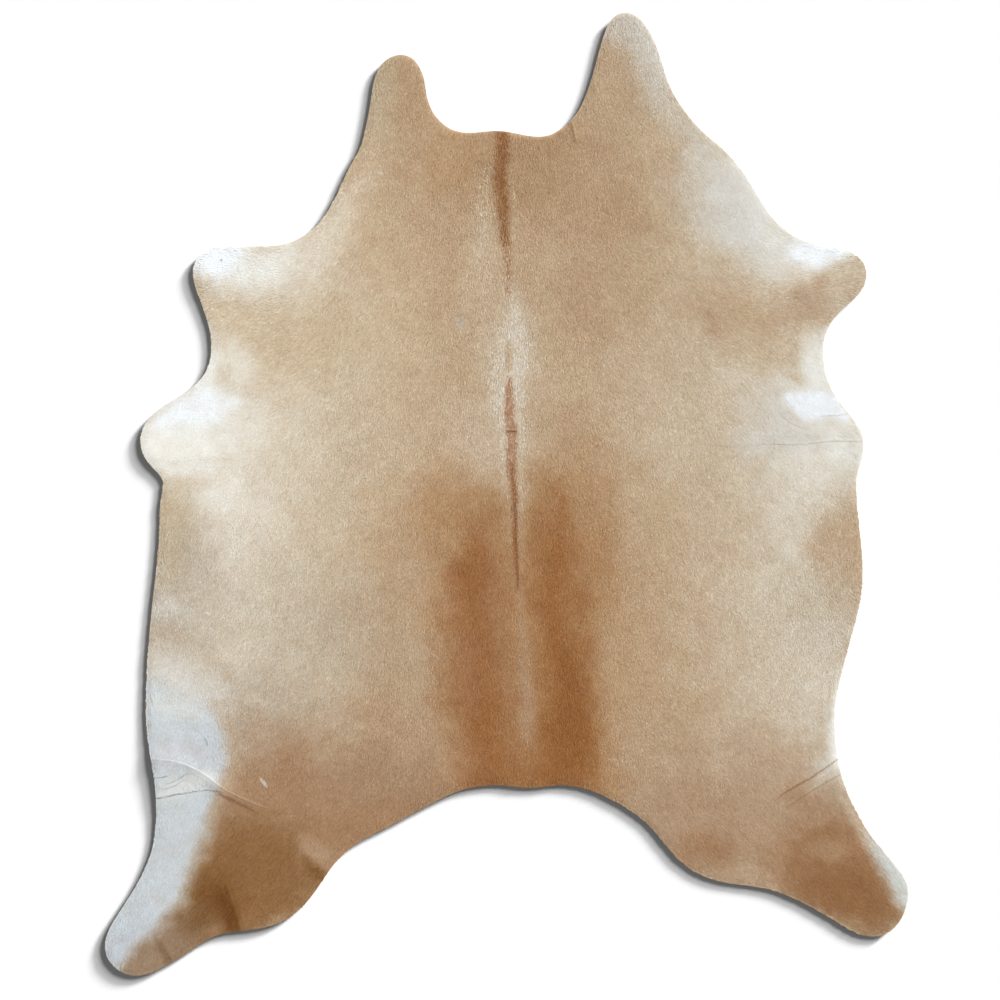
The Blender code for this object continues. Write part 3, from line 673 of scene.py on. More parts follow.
@dataclass(frozen=True)
class SoftNoise:
    """Smooth random waves over the plane, from -1 to 1.

    Attributes:
        cell: the length of a wave, in metres.
        seed: picks the waves.
        lattice: how many waves there are before they repeat.
    """

    cell: float
    seed: int
    lattice: int = 257

    def at(self, points: Array) -> Array:
        """Read the waves.

        Args:
            points: places in metres, one row each.

        Returns:
            One value for each place.
        """
        size = self.lattice
        values = np.random.default_rng(self.seed).uniform(-1.0, 1.0, (size, size))
        place = points / self.cell
        whole = np.floor(place).astype(int)
        share = smooth_step(place - whole).T
        return between(values, (whole % size).T, ((whole + 1) % size).T, share)


def layered_waves(points: Array, layers: Layers) -> Array:
    """Add up random waves of several sizes.

    Args:
        points: places in metres, one row each.
        layers: the strength, wave length in metres and seed of each size.

    Returns:
        One value for each place.
    """
    return sum(strength * SoftNoise(cell, SEED + seed).at(points) for strength, cell, seed in layers)


@dataclass
class Net:
    """Values on an even square net, read between its points.

    Attributes:
        corner: the net's lowest x and y.
        pitch: the distance between its points.
        values: one row for each y, one column for each x.
    """

    corner: Array
    pitch: float
    values: Array

    def at(self, points: Array) -> Array:
        """Read the net between its points.

        Args:
            points: places in metres, one row each.

        Returns:
            One value for each place.
        """
        rows, columns = self.values.shape
        last = 1.001  # so that a place always has a point of the net after it
        place = np.clip((points - self.corner) / self.pitch, 0.0, (columns - last, rows - last))
        whole = place.astype(int)
        return between(self.values, whole.T, whole.T + 1, (place - whole).T)

    def softened(self, passes: int = 1) -> "Net":
        """Blur the net, and carry its values out over empty places.

        Args:
            passes: how many times each point is mixed with its neighbours.

        Returns:
            A new net.  Places that no value reaches hold 0.
        """
        known, empty = np.isfinite(self.values), 1e-6
        total, weight = np.where(known, self.values, 0.0), known.astype(float)
        for _ in range(passes):
            total, weight = blend_neighbours(total), blend_neighbours(weight)
        soft = np.divide(total, weight, out=np.zeros_like(total), where=weight > empty)
        return Net(self.corner, self.pitch, soft)


def blend_neighbours(values: Array) -> Array:
    """Mix every point of a net with its neighbours in both directions.

    Args:
        values: the net's values.

    Returns:
        The mixed values.
    """
    for axis in (0, 1):
        before, after = np.roll(values, 1, axis), np.roll(values, -1, axis)
        values = (before + 2 * values + after) / 4
    return values


# ---------------------------------------------------------------------------
# The form of the hide
# ---------------------------------------------------------------------------


@dataclass
class HideForm:
    """Outline, heights and thickness of the hide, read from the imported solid.

    Attributes:
        node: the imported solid, which stays as it is.
        pitch: the distance between measured heights.
        margin: how far the measured net goes beyond the hide.
        leather_share: the skin's part of the solid's thickness, the rest is coat.
        least_leather: the skin is nowhere thinner.
        least_pile: the coat is nowhere lower.
        waves: the skin's slow and short waves, their heights in metres.
        calm_rim: how far in from the rim the waves come up.
        broad_share: how much of the broad folds' slopes the coat's face keeps.
        flat_slope: faces whose normals point down more than this are the solid's
            lower side,
        wall_slope: and those that point up or down less than this its cut side.
        slope_step: how far from a place its slope is measured.
        carry: how often the lower side's heights are mixed with their neighbours.
        per_span: steps of the drawn rim for each of the solid's corners.
        fold_steps: steps of a narrow fold for each of its points.
        fold_fade: the share of a narrow fold's length over which it dies away.
    """

    node: bpy.types.Object
    pitch: float = 0.005
    margin: float = 0.020
    leather_share: float = 0.75
    least_leather: float = 0.0019
    least_pile: float = 0.0006
    waves: Layers = ((0.0004, 0.110, 1), (0.0002, 0.042, 2))
    calm_rim: float = 0.030
    broad_share: float = 0.12
    flat_slope: float = 0.5
    wall_slope: float = 0.35
    slope_step: float = 0.0008
    carry: int = 26
    per_span: int = 3
    fold_steps: int = 6
    fold_fade: float = 0.3

    def __post_init__(self) -> None:
        """Measure the solid once."""
        solid = bmesh.new()
        solid.from_mesh(self.node.data)
        bmesh.ops.remove_doubles(solid, verts=solid.verts[:], dist=MERGE)
        solid.normal_update()
        self.rim = smooth_curve(self._rim_corners(solid), self.per_span, closed=True)
        self._measure_heights(solid)
        self._measure_gap()
        solid.free()
        self.wrinkles = [(row, smooth_curve(np.array(row.path) * MM, self.fold_steps))
                         for row in WRINKLES]
        self.details = [path for _, path in self.wrinkles]
        self.details += [np.array(row.path)[:, :2] * MM for row in SPECKS]

    def _rim_corners(self, solid: bmesh.types.BMesh) -> Array:
        """Walk round the lower edge of the solid's cut side.

        Args:
            solid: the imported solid, its doubles merged.

        Returns:
            The corners in order, anticlockwise, one row each.
        """
        follow: dict[bmesh.types.BMVert, list[bmesh.types.BMVert]] = {}
        for edge in solid.edges:
            slopes = sorted(face.normal.z for face in edge.link_faces)
            if slopes[0] < -self.flat_slope and abs(slopes[1]) < self.wall_slope:
                one, other = edge.verts
                follow.setdefault(one, []).append(other)
                follow.setdefault(other, []).append(one)
        start = next(iter(follow))
        loop, here, before = [start], follow[start][0], start
        while here is not start:
            loop.append(here)
            ahead = [vert for vert in follow[here] if vert is not before][0]
            before, here = here, ahead
        corners = np.array([(vert.co.x, vert.co.y) for vert in loop])
        x, y = corners.T
        turning = (x * np.roll(y, -1) - np.roll(x, -1) * y).sum()
        return corners if turning > 0 else corners[::-1]

    def _net_points(self) -> tuple[Array, Array, tuple[int, int]]:
        """Lay out the net of measured places.

        Returns:
            Its lowest corner, its points, and how many rows and columns they fill.
        """
        low = self.rim.min(axis=0) - self.margin
        high = self.rim.max(axis=0) + self.margin
        return low, *even_points(low, high + self.pitch, self.pitch)

    def _measure_heights(self, solid: bmesh.types.BMesh) -> None:
        """Drop rays on the solid from above and below.

        Args:
            solid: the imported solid, its doubles merged.
        """
        tree = BVHTree.FromBMesh(solid)
        corner, points, shape = self._net_points()
        far = 1.0
        levels = {}
        for name, start, way in (("top", far, -1.0), ("under", -far, 1.0)):
            ray = Vector((0.0, 0.0, way))
            hits = [tree.ray_cast(Vector((x, y, start)), ray)[0] for x, y in points]
            heights = [math.nan if hit is None else hit.z for hit in hits]
            levels[name] = np.array(heights).reshape(shape)
        self.under_net = Net(corner, self.pitch, levels["under"]).softened(self.carry)
        body = levels["top"] - levels["under"]
        self.body_net = Net(corner, self.pitch, body).softened()

    def _measure_gap(self) -> None:
        """Measure every net point's distance to the rim, positive inside."""
        fine = smooth_curve(self.rim, self.per_span, closed=True)
        along = np.roll(fine, -1, axis=0) - np.roll(fine, 1, axis=0)
        inward = np.column_stack([-along[:, 1], along[:, 0]])
        inward /= np.linalg.norm(inward, axis=1)[:, None]
        tree = KDTree(len(fine))
        for number, (x, y) in enumerate(fine):
            tree.insert((x, y, 0.0), number)
        tree.balance()
        corner, points, shape = self._net_points()
        found = [tree.find((x, y, 0.0)) for x, y in points]
        nearest = np.array([row[1] for row in found])
        reach = np.array([row[2] for row in found])
        straight = ((points - fine[nearest]) * inward[nearest]).sum(axis=1)
        close = reach < 2 * self.pitch
        gap = np.where(close, straight, np.sign(straight) * reach)
        self.gap_net = Net(corner, self.pitch, gap.reshape(shape))

    def gap(self, points: Array) -> Array:
        """Distance to the rim at each point, positive inside."""
        return self.gap_net.at(points)

    def under(self, points: Array) -> Array:
        """Height of the flesh side at each point."""
        return self.under_net.at(points)

    def leather(self, points: Array) -> Array:
        """Thickness of the skin at each point."""
        return np.maximum(self.body_net.at(points) * self.leather_share, self.least_leather)

    def pile(self, points: Array) -> Array:
        """Height of the coat above the skin at each point."""
        body = self.body_net.at(points)
        return np.maximum(body - self.leather(points), self.least_pile)

    def wrinkle_share(self, row: Wrinkle, path: Array, points: Array) -> Array:
        """How much of a narrow fold there is at each point.

        Args:
            row: the fold.
            path: its path, drawn smooth.
            points: places in metres, one row each.

        Returns:
            1 on its line where it is at full height, 0 beside it and at its end.
        """
        gap, along = gap_to_path(path, points)
        strength = smooth_step((1.0 - along) / self.fold_fade)
        if not row.from_rim:
            strength = np.minimum(strength, smooth_step(along / self.fold_fade))
        return np.cos(np.clip(gap / (row.half_width * MM), 0.0, 1.0) * math.pi / 2) ** 2 * strength

    def wrinkle_relief(self, points: Array) -> tuple[Array, Array]:
        """Add up the narrow folds.

        Args:
            points: places in metres, one row each.

        Returns:
            The height that the folds add at each place, in metres, and the
            factor of painted shade on the coat's colour there, above 1 where
            a fold has a painted highlight.
        """
        relief, light = np.zeros(len(points)), np.ones(len(points))
        for row, path in self.wrinkles:
            chosen = near_path(path, points, row.half_width * MM)
            share = self.wrinkle_share(row, path, points[chosen])
            relief[chosen] += row.rise * MM * share
            # painted shade along the fold, a painted highlight where its shade is below 0
            light[chosen] *= 1.0 - row.shade * share**2
        return relief, light

    def detail_gap(self, points: Array, reach: float) -> Array:
        """Distance to the nearest narrow fold or speck.

        Args:
            points: places in metres, one row each.
            reach: the furthest distance that matters.

        Returns:
            One distance for each place, at most the reach.
        """
        nearest = np.full(len(points), reach)
        for path in self.details:
            chosen = np.flatnonzero(near_path(path, points, reach))
            gap, _ = gap_to_path(path, points[chosen])
            nearest[chosen] = np.minimum(nearest[chosen], gap)
        return nearest

    def broad_top(self, points: Array) -> Array:
        """Height of the skin's hair side, without the narrow folds.

        Args:
            points: places in metres, one row each.

        Returns:
            The heights, in metres.
        """
        calm = smooth_step(self.gap(points) / self.calm_rim)
        waves = layered_waves(points, self.waves)
        return self.under(points) + self.leather(points) + waves * calm

    def skin_top(self, points: Array) -> Array:
        """Height of the skin's hair side at each point."""
        return self.broad_top(points) + self.wrinkle_relief(points)[0]

    def coat_normals(self, points: Array) -> Array:
        """Which way the lie of the coat faces at each point.

        The coat evens out the broad folds and follows the narrow ones.

        Args:
            points: places in metres, one row each.

        Returns:
            One upward vector for each place, not yet of length 1.
        """
        step = self.slope_step
        slopes = []
        for way in ((step, 0.0), (0.0, step)):
            ahead, behind = points + way, points - way
            broad = self.broad_top(behind) - self.broad_top(ahead)
            narrow = self.wrinkle_relief(behind)[0] - self.wrinkle_relief(ahead)[0]
            slopes.append((self.broad_share * broad + narrow) / (2 * step))
        return np.column_stack([*slopes, np.ones(len(points))])


# ---------------------------------------------------------------------------
# The coat's colours and lie
# ---------------------------------------------------------------------------


@dataclass(frozen=True)
class Markings:
    """The coat's colours, from its ground, patches and streaks.

    Attributes:
        raggedness: how far an edge wanders, as a share of its softness.
        dither: how much single locks differ where two colours meet.
        fleck_blur: how much single locks blend two colours among the flecks.
        mottle: how much lighter or darker the coat gets from place to place.
        bands: how much of that goes to red, green and blue, so that the pale
            places are also greyer.
        wander: the waves of the edges, across and up.
        ground_wander: how far the ground's stops wander, in millimetres.
        blotches: the waves of the mottle.
        path_steps: steps of a streak for each of its points.
    """

    raggedness: float = 0.42
    dither: float = 0.22
    fleck_blur: float = 0.3
    mottle: float = 0.051
    bands: Rgb = (0.45, 0.72, 1.0)
    wander: tuple[Layers, Layers] = (((0.7, 0.060, 11), (0.5, 0.017, 12)),
                                     ((0.7, 0.060, 13), (0.5, 0.017, 14)))
    ground_wander: float = 20.0
    blotches: Layers = ((0.6, 0.034, 15), (0.5, 0.014, 16), (0.4, 0.007, 17))
    path_steps: int = 5

    def _patch_share(self, row: Patch, points: Array, waves: Array) -> Array:
        """How much of a patch's colour shows at each point.

        Args:
            row: the patch.
            points: places in metres, one row each.
            waves: how its edge wanders there, across and up.

        Returns:
            One share from 0 to 1 for each place.
        """
        reach = np.array([row.reach_x, row.reach_y]) * MM
        wander = waves * (self.raggedness * row.softness * reach.min())
        offset = points + wander - np.array([row.x, row.y]) * MM
        turn = math.radians(row.turn)
        along = offset @ np.array([math.cos(turn), math.sin(turn)])
        across = offset @ np.array([-math.sin(turn), math.cos(turn)])
        ratio = np.hypot(along / reach[0], across / reach[1])
        return smooth_step((1.0 + row.softness - ratio) / (2.0 * row.softness))

    def _streak_share(self, row: Streak, points: Array, waves: Array) -> Array:
        """How much of a streak's colour shows at each point.

        Args:
            row: the streak.
            points: places in metres, one row each.
            waves: how its edge wanders there, across and up.

        Returns:
            One share from 0 to 1 for each place.
        """
        knots = np.array(row.path) * MM
        path = smooth_curve(knots[:, :2], self.path_steps)
        widths = np.interp(np.linspace(0, len(knots) - 1, len(path)),
                           np.arange(len(knots)), knots[:, 2])
        softness = row.softness * MM
        share = np.zeros(len(points))
        chosen = near_path(path, points, widths.max() + 2 * softness)
        moved = points[chosen] + waves[chosen] * (self.raggedness * softness)
        gap, along = gap_to_path(path, moved)
        steps = np.hypot(*np.diff(path, axis=0).T)
        travel = np.concatenate([[0.0], np.cumsum(steps)]) / steps.sum()
        beyond = gap - np.interp(along, travel, widths)
        share[chosen] = smooth_step((softness - beyond) / (2.0 * softness))
        return share

    def at(self, points: Array, chance: Array | None = None) -> Array:
        """Mix the coat's colour.

        Args:
            points: places in metres, one row each.
            chance: a number from -0.5 to 0.5 for each place, which decides
                how it falls where two colours meet.  Without it they blend.

        Returns:
            Display colours, one row for each place.
        """
        waves = np.column_stack([layered_waves(points, layers) for layers in self.wander])
        across = points[:, 0] / MM + self.ground_wander * waves[:, 0]
        stops = [stop.x for stop in GROUND]
        ground = np.array([stop.tone.display for stop in GROUND])
        colour = np.column_stack([np.interp(across, stops, ground[:, band]) for band in range(3)])
        for row in PATCHES + STREAKS + FLECKS + SPECKS:
            measure = self._patch_share if isinstance(row, Patch) else self._streak_share
            share = row.strength * measure(row, points, waves)
            if chance is not None and row in FLECKS:
                reach = share * (1.0 + self.fleck_blur)
                share = np.clip((reach - 0.5 - chance) / self.fleck_blur, 0.0, 1.0)
            elif chance is not None:
                share = np.clip(share + self.dither * 4 * share * (1 - share) * chance, 0.0, 1.0)
            colour += (row.tone.display - colour) * share[:, None]
        blotches = layered_waves(points, self.blotches)
        return colour * (1.0 + self.mottle * blotches[:, None] * np.array(self.bands))


@dataclass(frozen=True)
class HairLie:
    """Which way the hair lies, between the guides.

    Attributes:
        blend_reach: how far a guide alone decides, in metres.
        falloff: the power of the squared distance that weighs a guide.
        turns: slow and quick turning of the lie, in degrees.
    """

    blend_reach: float = 0.060
    falloff: float = -1.5
    turns: Layers = ((11.0, 0.130, 21), (8.0, 0.028, 22))

    def at(self, points: Array) -> Array:
        """Read the heading.

        Args:
            points: places in metres, one row each.

        Returns:
            Headings in radians, one for each place.
        """
        total = np.zeros((len(points), 2))
        for guide in LIE_GUIDES:
            offset = points - np.array([guide.x, guide.y]) * MM
            weight = (np.square(offset).sum(axis=1) + self.blend_reach**2) ** self.falloff
            angle = math.radians(guide.heading)
            total += weight[:, None] * np.array([math.cos(angle), math.sin(angle)])
        heading = np.arctan2(total[:, 1], total[:, 0])
        return heading + np.radians(layered_waves(points, self.turns))


# ---------------------------------------------------------------------------
# Finishes
# ---------------------------------------------------------------------------


TONE_ATTRIBUTE = "coat_tone"


class NodeBoard:
    """Adds and joins the shader nodes of one material.

    Attributes:
        material: the material.
        tree: its nodes.
        shader: the node that shades it.
        place: the object's coordinates.
    """

    MIX_INPUTS = (0, 6, 7)  # the colour mix's share and its two colours
    MIX_RESULT = 2

    def __init__(self, name: str) -> None:
        """Start a material with its shader and its object coordinates.

        Args:
            name: the material's name.
        """
        self.material = bpy.data.materials.new(name)
        self.material.use_nodes = True
        self.tree = self.material.node_tree
        self.shader = self.tree.nodes["Principled BSDF"]
        self.place = self.add("ShaderNodeTexCoord").outputs["Object"]

    def add(self, kind: str, **settings: object) -> bpy.types.Node:
        """Add a node.

        Args:
            kind: the node's type.
            **settings: properties of the node, set as they are.

        Returns:
            The new node.
        """
        node = self.tree.nodes.new(kind)
        for name, value in settings.items():
            setattr(node, name, value)
        return node

    def join(self, source: Socket, target: Socket) -> None:
        """Link an output to an input."""
        self.tree.links.new(source, target)

    def carried_tone(self) -> Socket:
        """Add the colour that the mesh carries."""
        return self.add("ShaderNodeAttribute", attribute_name=TONE_ATTRIBUTE).outputs["Color"]

    def noise(self, scale: float, detail: float = 3.0, roughness: float = 0.55,
              stretch: tuple[float, float, float] = (1.0, 1.0, 1.0)) -> Socket:
        """Add a noise pattern on the object's coordinates.

        Args:
            scale: waves in a metre.
            detail: octaves of finer waves.
            roughness: how strong the finer waves are.
            stretch: scale of the pattern along each axis.

        Returns:
            The pattern's value, about 0.3 to 0.7.
        """
        mapping = self.add("ShaderNodeMapping")
        mapping.inputs["Scale"].default_value = stretch
        self.join(self.place, mapping.inputs["Vector"])
        noise = self.add("ShaderNodeTexNoise", noise_dimensions="3D")
        noise.inputs["Scale"].default_value = scale
        noise.inputs["Detail"].default_value = detail
        noise.inputs["Roughness"].default_value = roughness
        self.join(mapping.outputs["Vector"], noise.inputs["Vector"])
        return noise.outputs["Fac"]

    def ranged(self, value: Socket, low: float, high: float,
               start: float = 0.3, end: float = 0.7) -> Socket:
        """Map a pattern's value from start..end to low..high.

        Args:
            value: the pattern.
            low: the result at start.
            high: the result at end.
            start: the pattern's low value.
            end: its high value.

        Returns:
            The mapped value.
        """
        node = self.add("ShaderNodeMapRange")
        numbers = {"From Min": start, "From Max": end, "To Min": low, "To Max": high}
        for name, number in numbers.items():
            node.inputs[name].default_value = number
        self.join(value, node.inputs["Value"])
        return node.outputs["Result"]

    def mixed(self, blend: str, one: Socket | Sequence[float],
              other: Socket | Sequence[float],
              share: Socket | float = 1.0) -> Socket:
        """Mix two colours.

        Args:
            blend: the mix's blend type.
            one: the first colour.
            other: the second colour.
            share: how much of the second shows.

        Returns:
            The mixed colour.
        """
        node = self.add("ShaderNodeMix", data_type="RGBA", blend_type=blend)
        for index, value in zip(self.MIX_INPUTS, (share, one, other)):
            socket = node.inputs[index]
            if isinstance(value, Socket):
                self.join(value, socket)
            else:
                socket.default_value = value if isinstance(value, float) else (*value, 1.0)
        return node.outputs[self.MIX_RESULT]

    def shaded(self, colour: Socket | Rgb, pattern: Socket, low: float, high: float,
               start: float = 0.3, end: float = 0.7) -> Socket:
        """Darken and lighten a colour by a pattern.

        Args:
            colour: the colour.
            pattern: the pattern.
            low: the brightness where the pattern is at start.
            high: the brightness where it is at end.
            start: the pattern's low value.
            end: its high value.

        Returns:
            The shaded colour.
        """
        grey = self.add("ShaderNodeCombineColor")
        brightness = self.ranged(pattern, low, high, start, end)
        for channel in ("Red", "Green", "Blue"):
            self.join(brightness, grey.inputs[channel])
        return self.mixed("MULTIPLY", colour, grey.outputs["Color"])

    def bump(self, height: Socket, strength: float, distance: float,
             under: Socket | None = None) -> Socket:
        """Raise a pattern.

        Args:
            height: the pattern.
            strength: how much of it shows.
            distance: its height in metres.
            under: a bump that this one lies on.

        Returns:
            The new normal.
        """
        node = self.add("ShaderNodeBump")
        node.inputs["Strength"].default_value = strength
        node.inputs["Distance"].default_value = distance
        self.join(height, node.inputs["Height"])
        if under is not None:
            self.join(under, node.inputs["Normal"])
        return node.outputs["Normal"]

    def dress(self, **patterns: Socket) -> None:
        """Join patterns to the shader's sockets, named with underscores."""
        for name, pattern in patterns.items():
            self.join(pattern, self.shader.inputs[name.replace("_", " ")])

    def set_shader(self, **values: float | Sequence[float]) -> None:
        """Set plain values on the shader's sockets, named with underscores."""
        for name, value in values.items():
            self.shader.inputs[name.replace("_", " ")].default_value = value


@dataclass(frozen=True)
class Finish:
    """How a surface looks.

    Attributes:
        name: the material's name.
    """

    name: str

    def material(self) -> bpy.types.Material:
        """Build the material.

        Returns:
            The new material.
        """
        board = NodeBoard(self.name)
        self.paint(board)
        return board.material

    def paint(self, board: NodeBoard) -> None:
        """Put the finish on a material's shader."""
        raise NotImplementedError


@dataclass(frozen=True)
class HairFinish(Finish):
    """Short glossy hair in the colours that its locks carry.

    Attributes:
        mottle_scale: soft blotches in a metre.
        grain_scale: fine grains in a metre.
        mottle: brightness of the blotches.
        grain: brightness of the grains.
        roughness: how dull the hair is.
        gloss: how much light it mirrors.
    """

    name: str = "hair_coat"
    mottle_scale: float = 60.0
    grain_scale: float = 520.0
    mottle: Ends = (0.975, 1.025)
    grain: Ends = (0.95, 1.05)
    roughness: Ends = (0.50, 0.64)
    gloss: float = 0.04

    def paint(self, board: NodeBoard) -> None:
        """Put the finish on a material's shader.

        Args:
            board: the material's nodes.
        """
        colour = board.shaded(board.carried_tone(), board.noise(self.mottle_scale), *self.mottle)
        colour = board.shaded(colour, board.noise(self.grain_scale), *self.grain)
        dullness = board.ranged(board.noise(self.mottle_scale / 2), *self.roughness)
        board.dress(Base_Color=colour, Roughness=dullness)
        board.set_shader(Specular_IOR_Level=self.gloss)


@dataclass(frozen=True)
class SkinFinish(Finish):
    """The hair side of the skin between the roots, its colour painted darker than the coat as shade between
    the hairs.

    Attributes:
        stubble_scale: stubble marks in a metre.
        shade: brightness of the stubble marks, at most 1: painted shade between the hairs, broken up by the
            stubble.
        relief: its strength, and its height in metres.
        roughness: how dull the skin is.
    """

    name: str = "skin_under_hair"
    stubble_scale: float = 620.0
    shade: Ends = (0.76, 1.0)
    relief: tuple[float, float] = (0.5, 0.0004)
    roughness: Ends = (0.6, 0.8)

    def paint(self, board: NodeBoard) -> None:
        """Put the finish on a material's shader."""
        stubble = board.noise(self.stubble_scale, detail=4.0, stretch=(1.6, 0.5, 1.0))
        # painted shade between the hairs, in stubble marks
        board.dress(Base_Color=board.shaded(board.carried_tone(), stubble, *self.shade),
                    Normal=board.bump(stubble, *self.relief),
                    Roughness=board.ranged(stubble, *self.roughness))


@dataclass(frozen=True)
class SuedeFinish(Finish):
    """The shaved flesh side: pale tanned suede with faint vein marks.

    Attributes:
        pale: its lighter colour.
        dull: its darker colour.
        cloud_scale: soft clouds of the two colours in a metre.
        nap_scale: fine fibres in a metre.
        vein_scale: veins in a metre.
        vein_gap: the value of their pattern at which they come back.
        roughness: how dull the suede is.
    """

    name: str = "suede_underside"
    pale: Rgb = (0.68, 0.62, 0.52)
    dull: Rgb = (0.52, 0.46, 0.37)
    cloud_scale: float = 9.0
    nap_scale: float = 1300.0
    vein_scale: float = 26.0
    vein_gap: float = 0.06
    roughness: Ends = (0.86, 0.98)

    def paint(self, board: NodeBoard) -> None:
        """Put the finish on a material's shader.

        Args:
            board: the material's nodes.
        """
        clouds = board.noise(self.cloud_scale, detail=5.0)
        nap = board.noise(self.nap_scale, roughness=0.7)
        veins = board.add("ShaderNodeMath", operation="PINGPONG")
        veins.inputs[1].default_value = self.vein_gap
        board.join(board.noise(self.vein_scale, detail=2.0, stretch=(1.0, 0.35, 1.0)),
                   veins.inputs[0])
        colour = board.mixed("MIX", self.dull, self.pale, board.ranged(clouds, 0.2, 1.0))
        colour = board.shaded(colour, veins.outputs[0], 0.90, 1.0, start=0.0, end=0.02)
        colour = board.shaded(colour, nap, 0.86, 1.08)
        swell = board.bump(clouds, 0.25, 0.004)
        board.dress(Base_Color=colour, Normal=board.bump(nap, 0.6, 0.0005, swell),
                    Roughness=board.ranged(nap, *self.roughness))
        board.set_shader(Sheen_Weight=0.2, Sheen_Roughness=0.6, Specular_IOR_Level=0.2)


@dataclass(frozen=True)
class CutEdgeFinish(Finish):
    """The knife-cut side of the skin: fibrous, warm and pale.

    Attributes:
        pale: its lighter colour.
        dark: its darker colour.
        fibre_scale: fibres in a metre.
        roughness: how dull the cut is.
    """

    name: str = "cut_leather_edge"
    pale: Rgb = (0.58, 0.50, 0.39)
    dark: Rgb = (0.38, 0.30, 0.21)
    fibre_scale: float = 700.0
    roughness: Ends = (0.75, 0.95)

    def paint(self, board: NodeBoard) -> None:
        """Put the finish on a material's shader.

        Args:
            board: the material's nodes.
        """
        fibres = board.noise(self.fibre_scale, detail=4.0, roughness=0.7, stretch=(1.0, 1.0, 3.0))
        colour = board.mixed("MIX", self.dark, self.pale, board.ranged(fibres, 0.0, 1.0))
        board.dress(Base_Color=colour, Normal=board.bump(fibres, 0.6, 0.0006),
                    Roughness=board.ranged(fibres, *self.roughness))
        board.set_shader(Specular_IOR_Level=0.25)


@dataclass(frozen=True)
class FloorFinish(Finish):
    """A plain matt white studio floor.

    Attributes:
        tone: its colour.
        grain_scale: faint grains in a metre.
    """

    name: str = "studio_floor"
    tone: Rgb = (0.60, 0.60, 0.60)
    grain_scale: float = 300.0

    def paint(self, board: NodeBoard) -> None:
        """Put the finish on a material's shader."""
        board.dress(Base_Color=board.shaded(self.tone, board.noise(self.grain_scale), 0.99, 1.01))
        board.set_shader(Roughness=0.9, Specular_IOR_Level=0.0)


# ---------------------------------------------------------------------------
# The pieces
# ---------------------------------------------------------------------------


def new_piece(name: str, mesh: bpy.types.Mesh) -> bpy.types.Object:
    """Put a mesh into the scene as a piece that rides on the hide's body.

    Args:
        name: the piece's name.
        mesh: its finished mesh, in the frame's own place.

    Returns:
        The new object.
    """
    piece = bpy.data.objects.new(name, mesh)
    bpy.context.scene.collection.objects.link(piece)
    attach(piece, HIDE_BODY)
    return piece


def carry_tones(mesh: bpy.types.Mesh, tones: Array) -> None:
    """Store a display colour for every vertex as linear light.

    Args:
        mesh: the mesh that gets the colours.
        tones: display colours, one row for each vertex.
    """
    layer = mesh.color_attributes.new(TONE_ATTRIBUTE, "FLOAT_COLOR", "POINT")
    opaque = np.ones((len(tones), 1))
    reflected = COAT_ALBEDO * linear_light(tones)
    layer.data.foreach_set("color", np.hstack([reflected, opaque]).ravel())


class Side(Enum):
    """The material slots of the skin."""

    HAIR = 0
    FLESH = 1
    CUT = 2


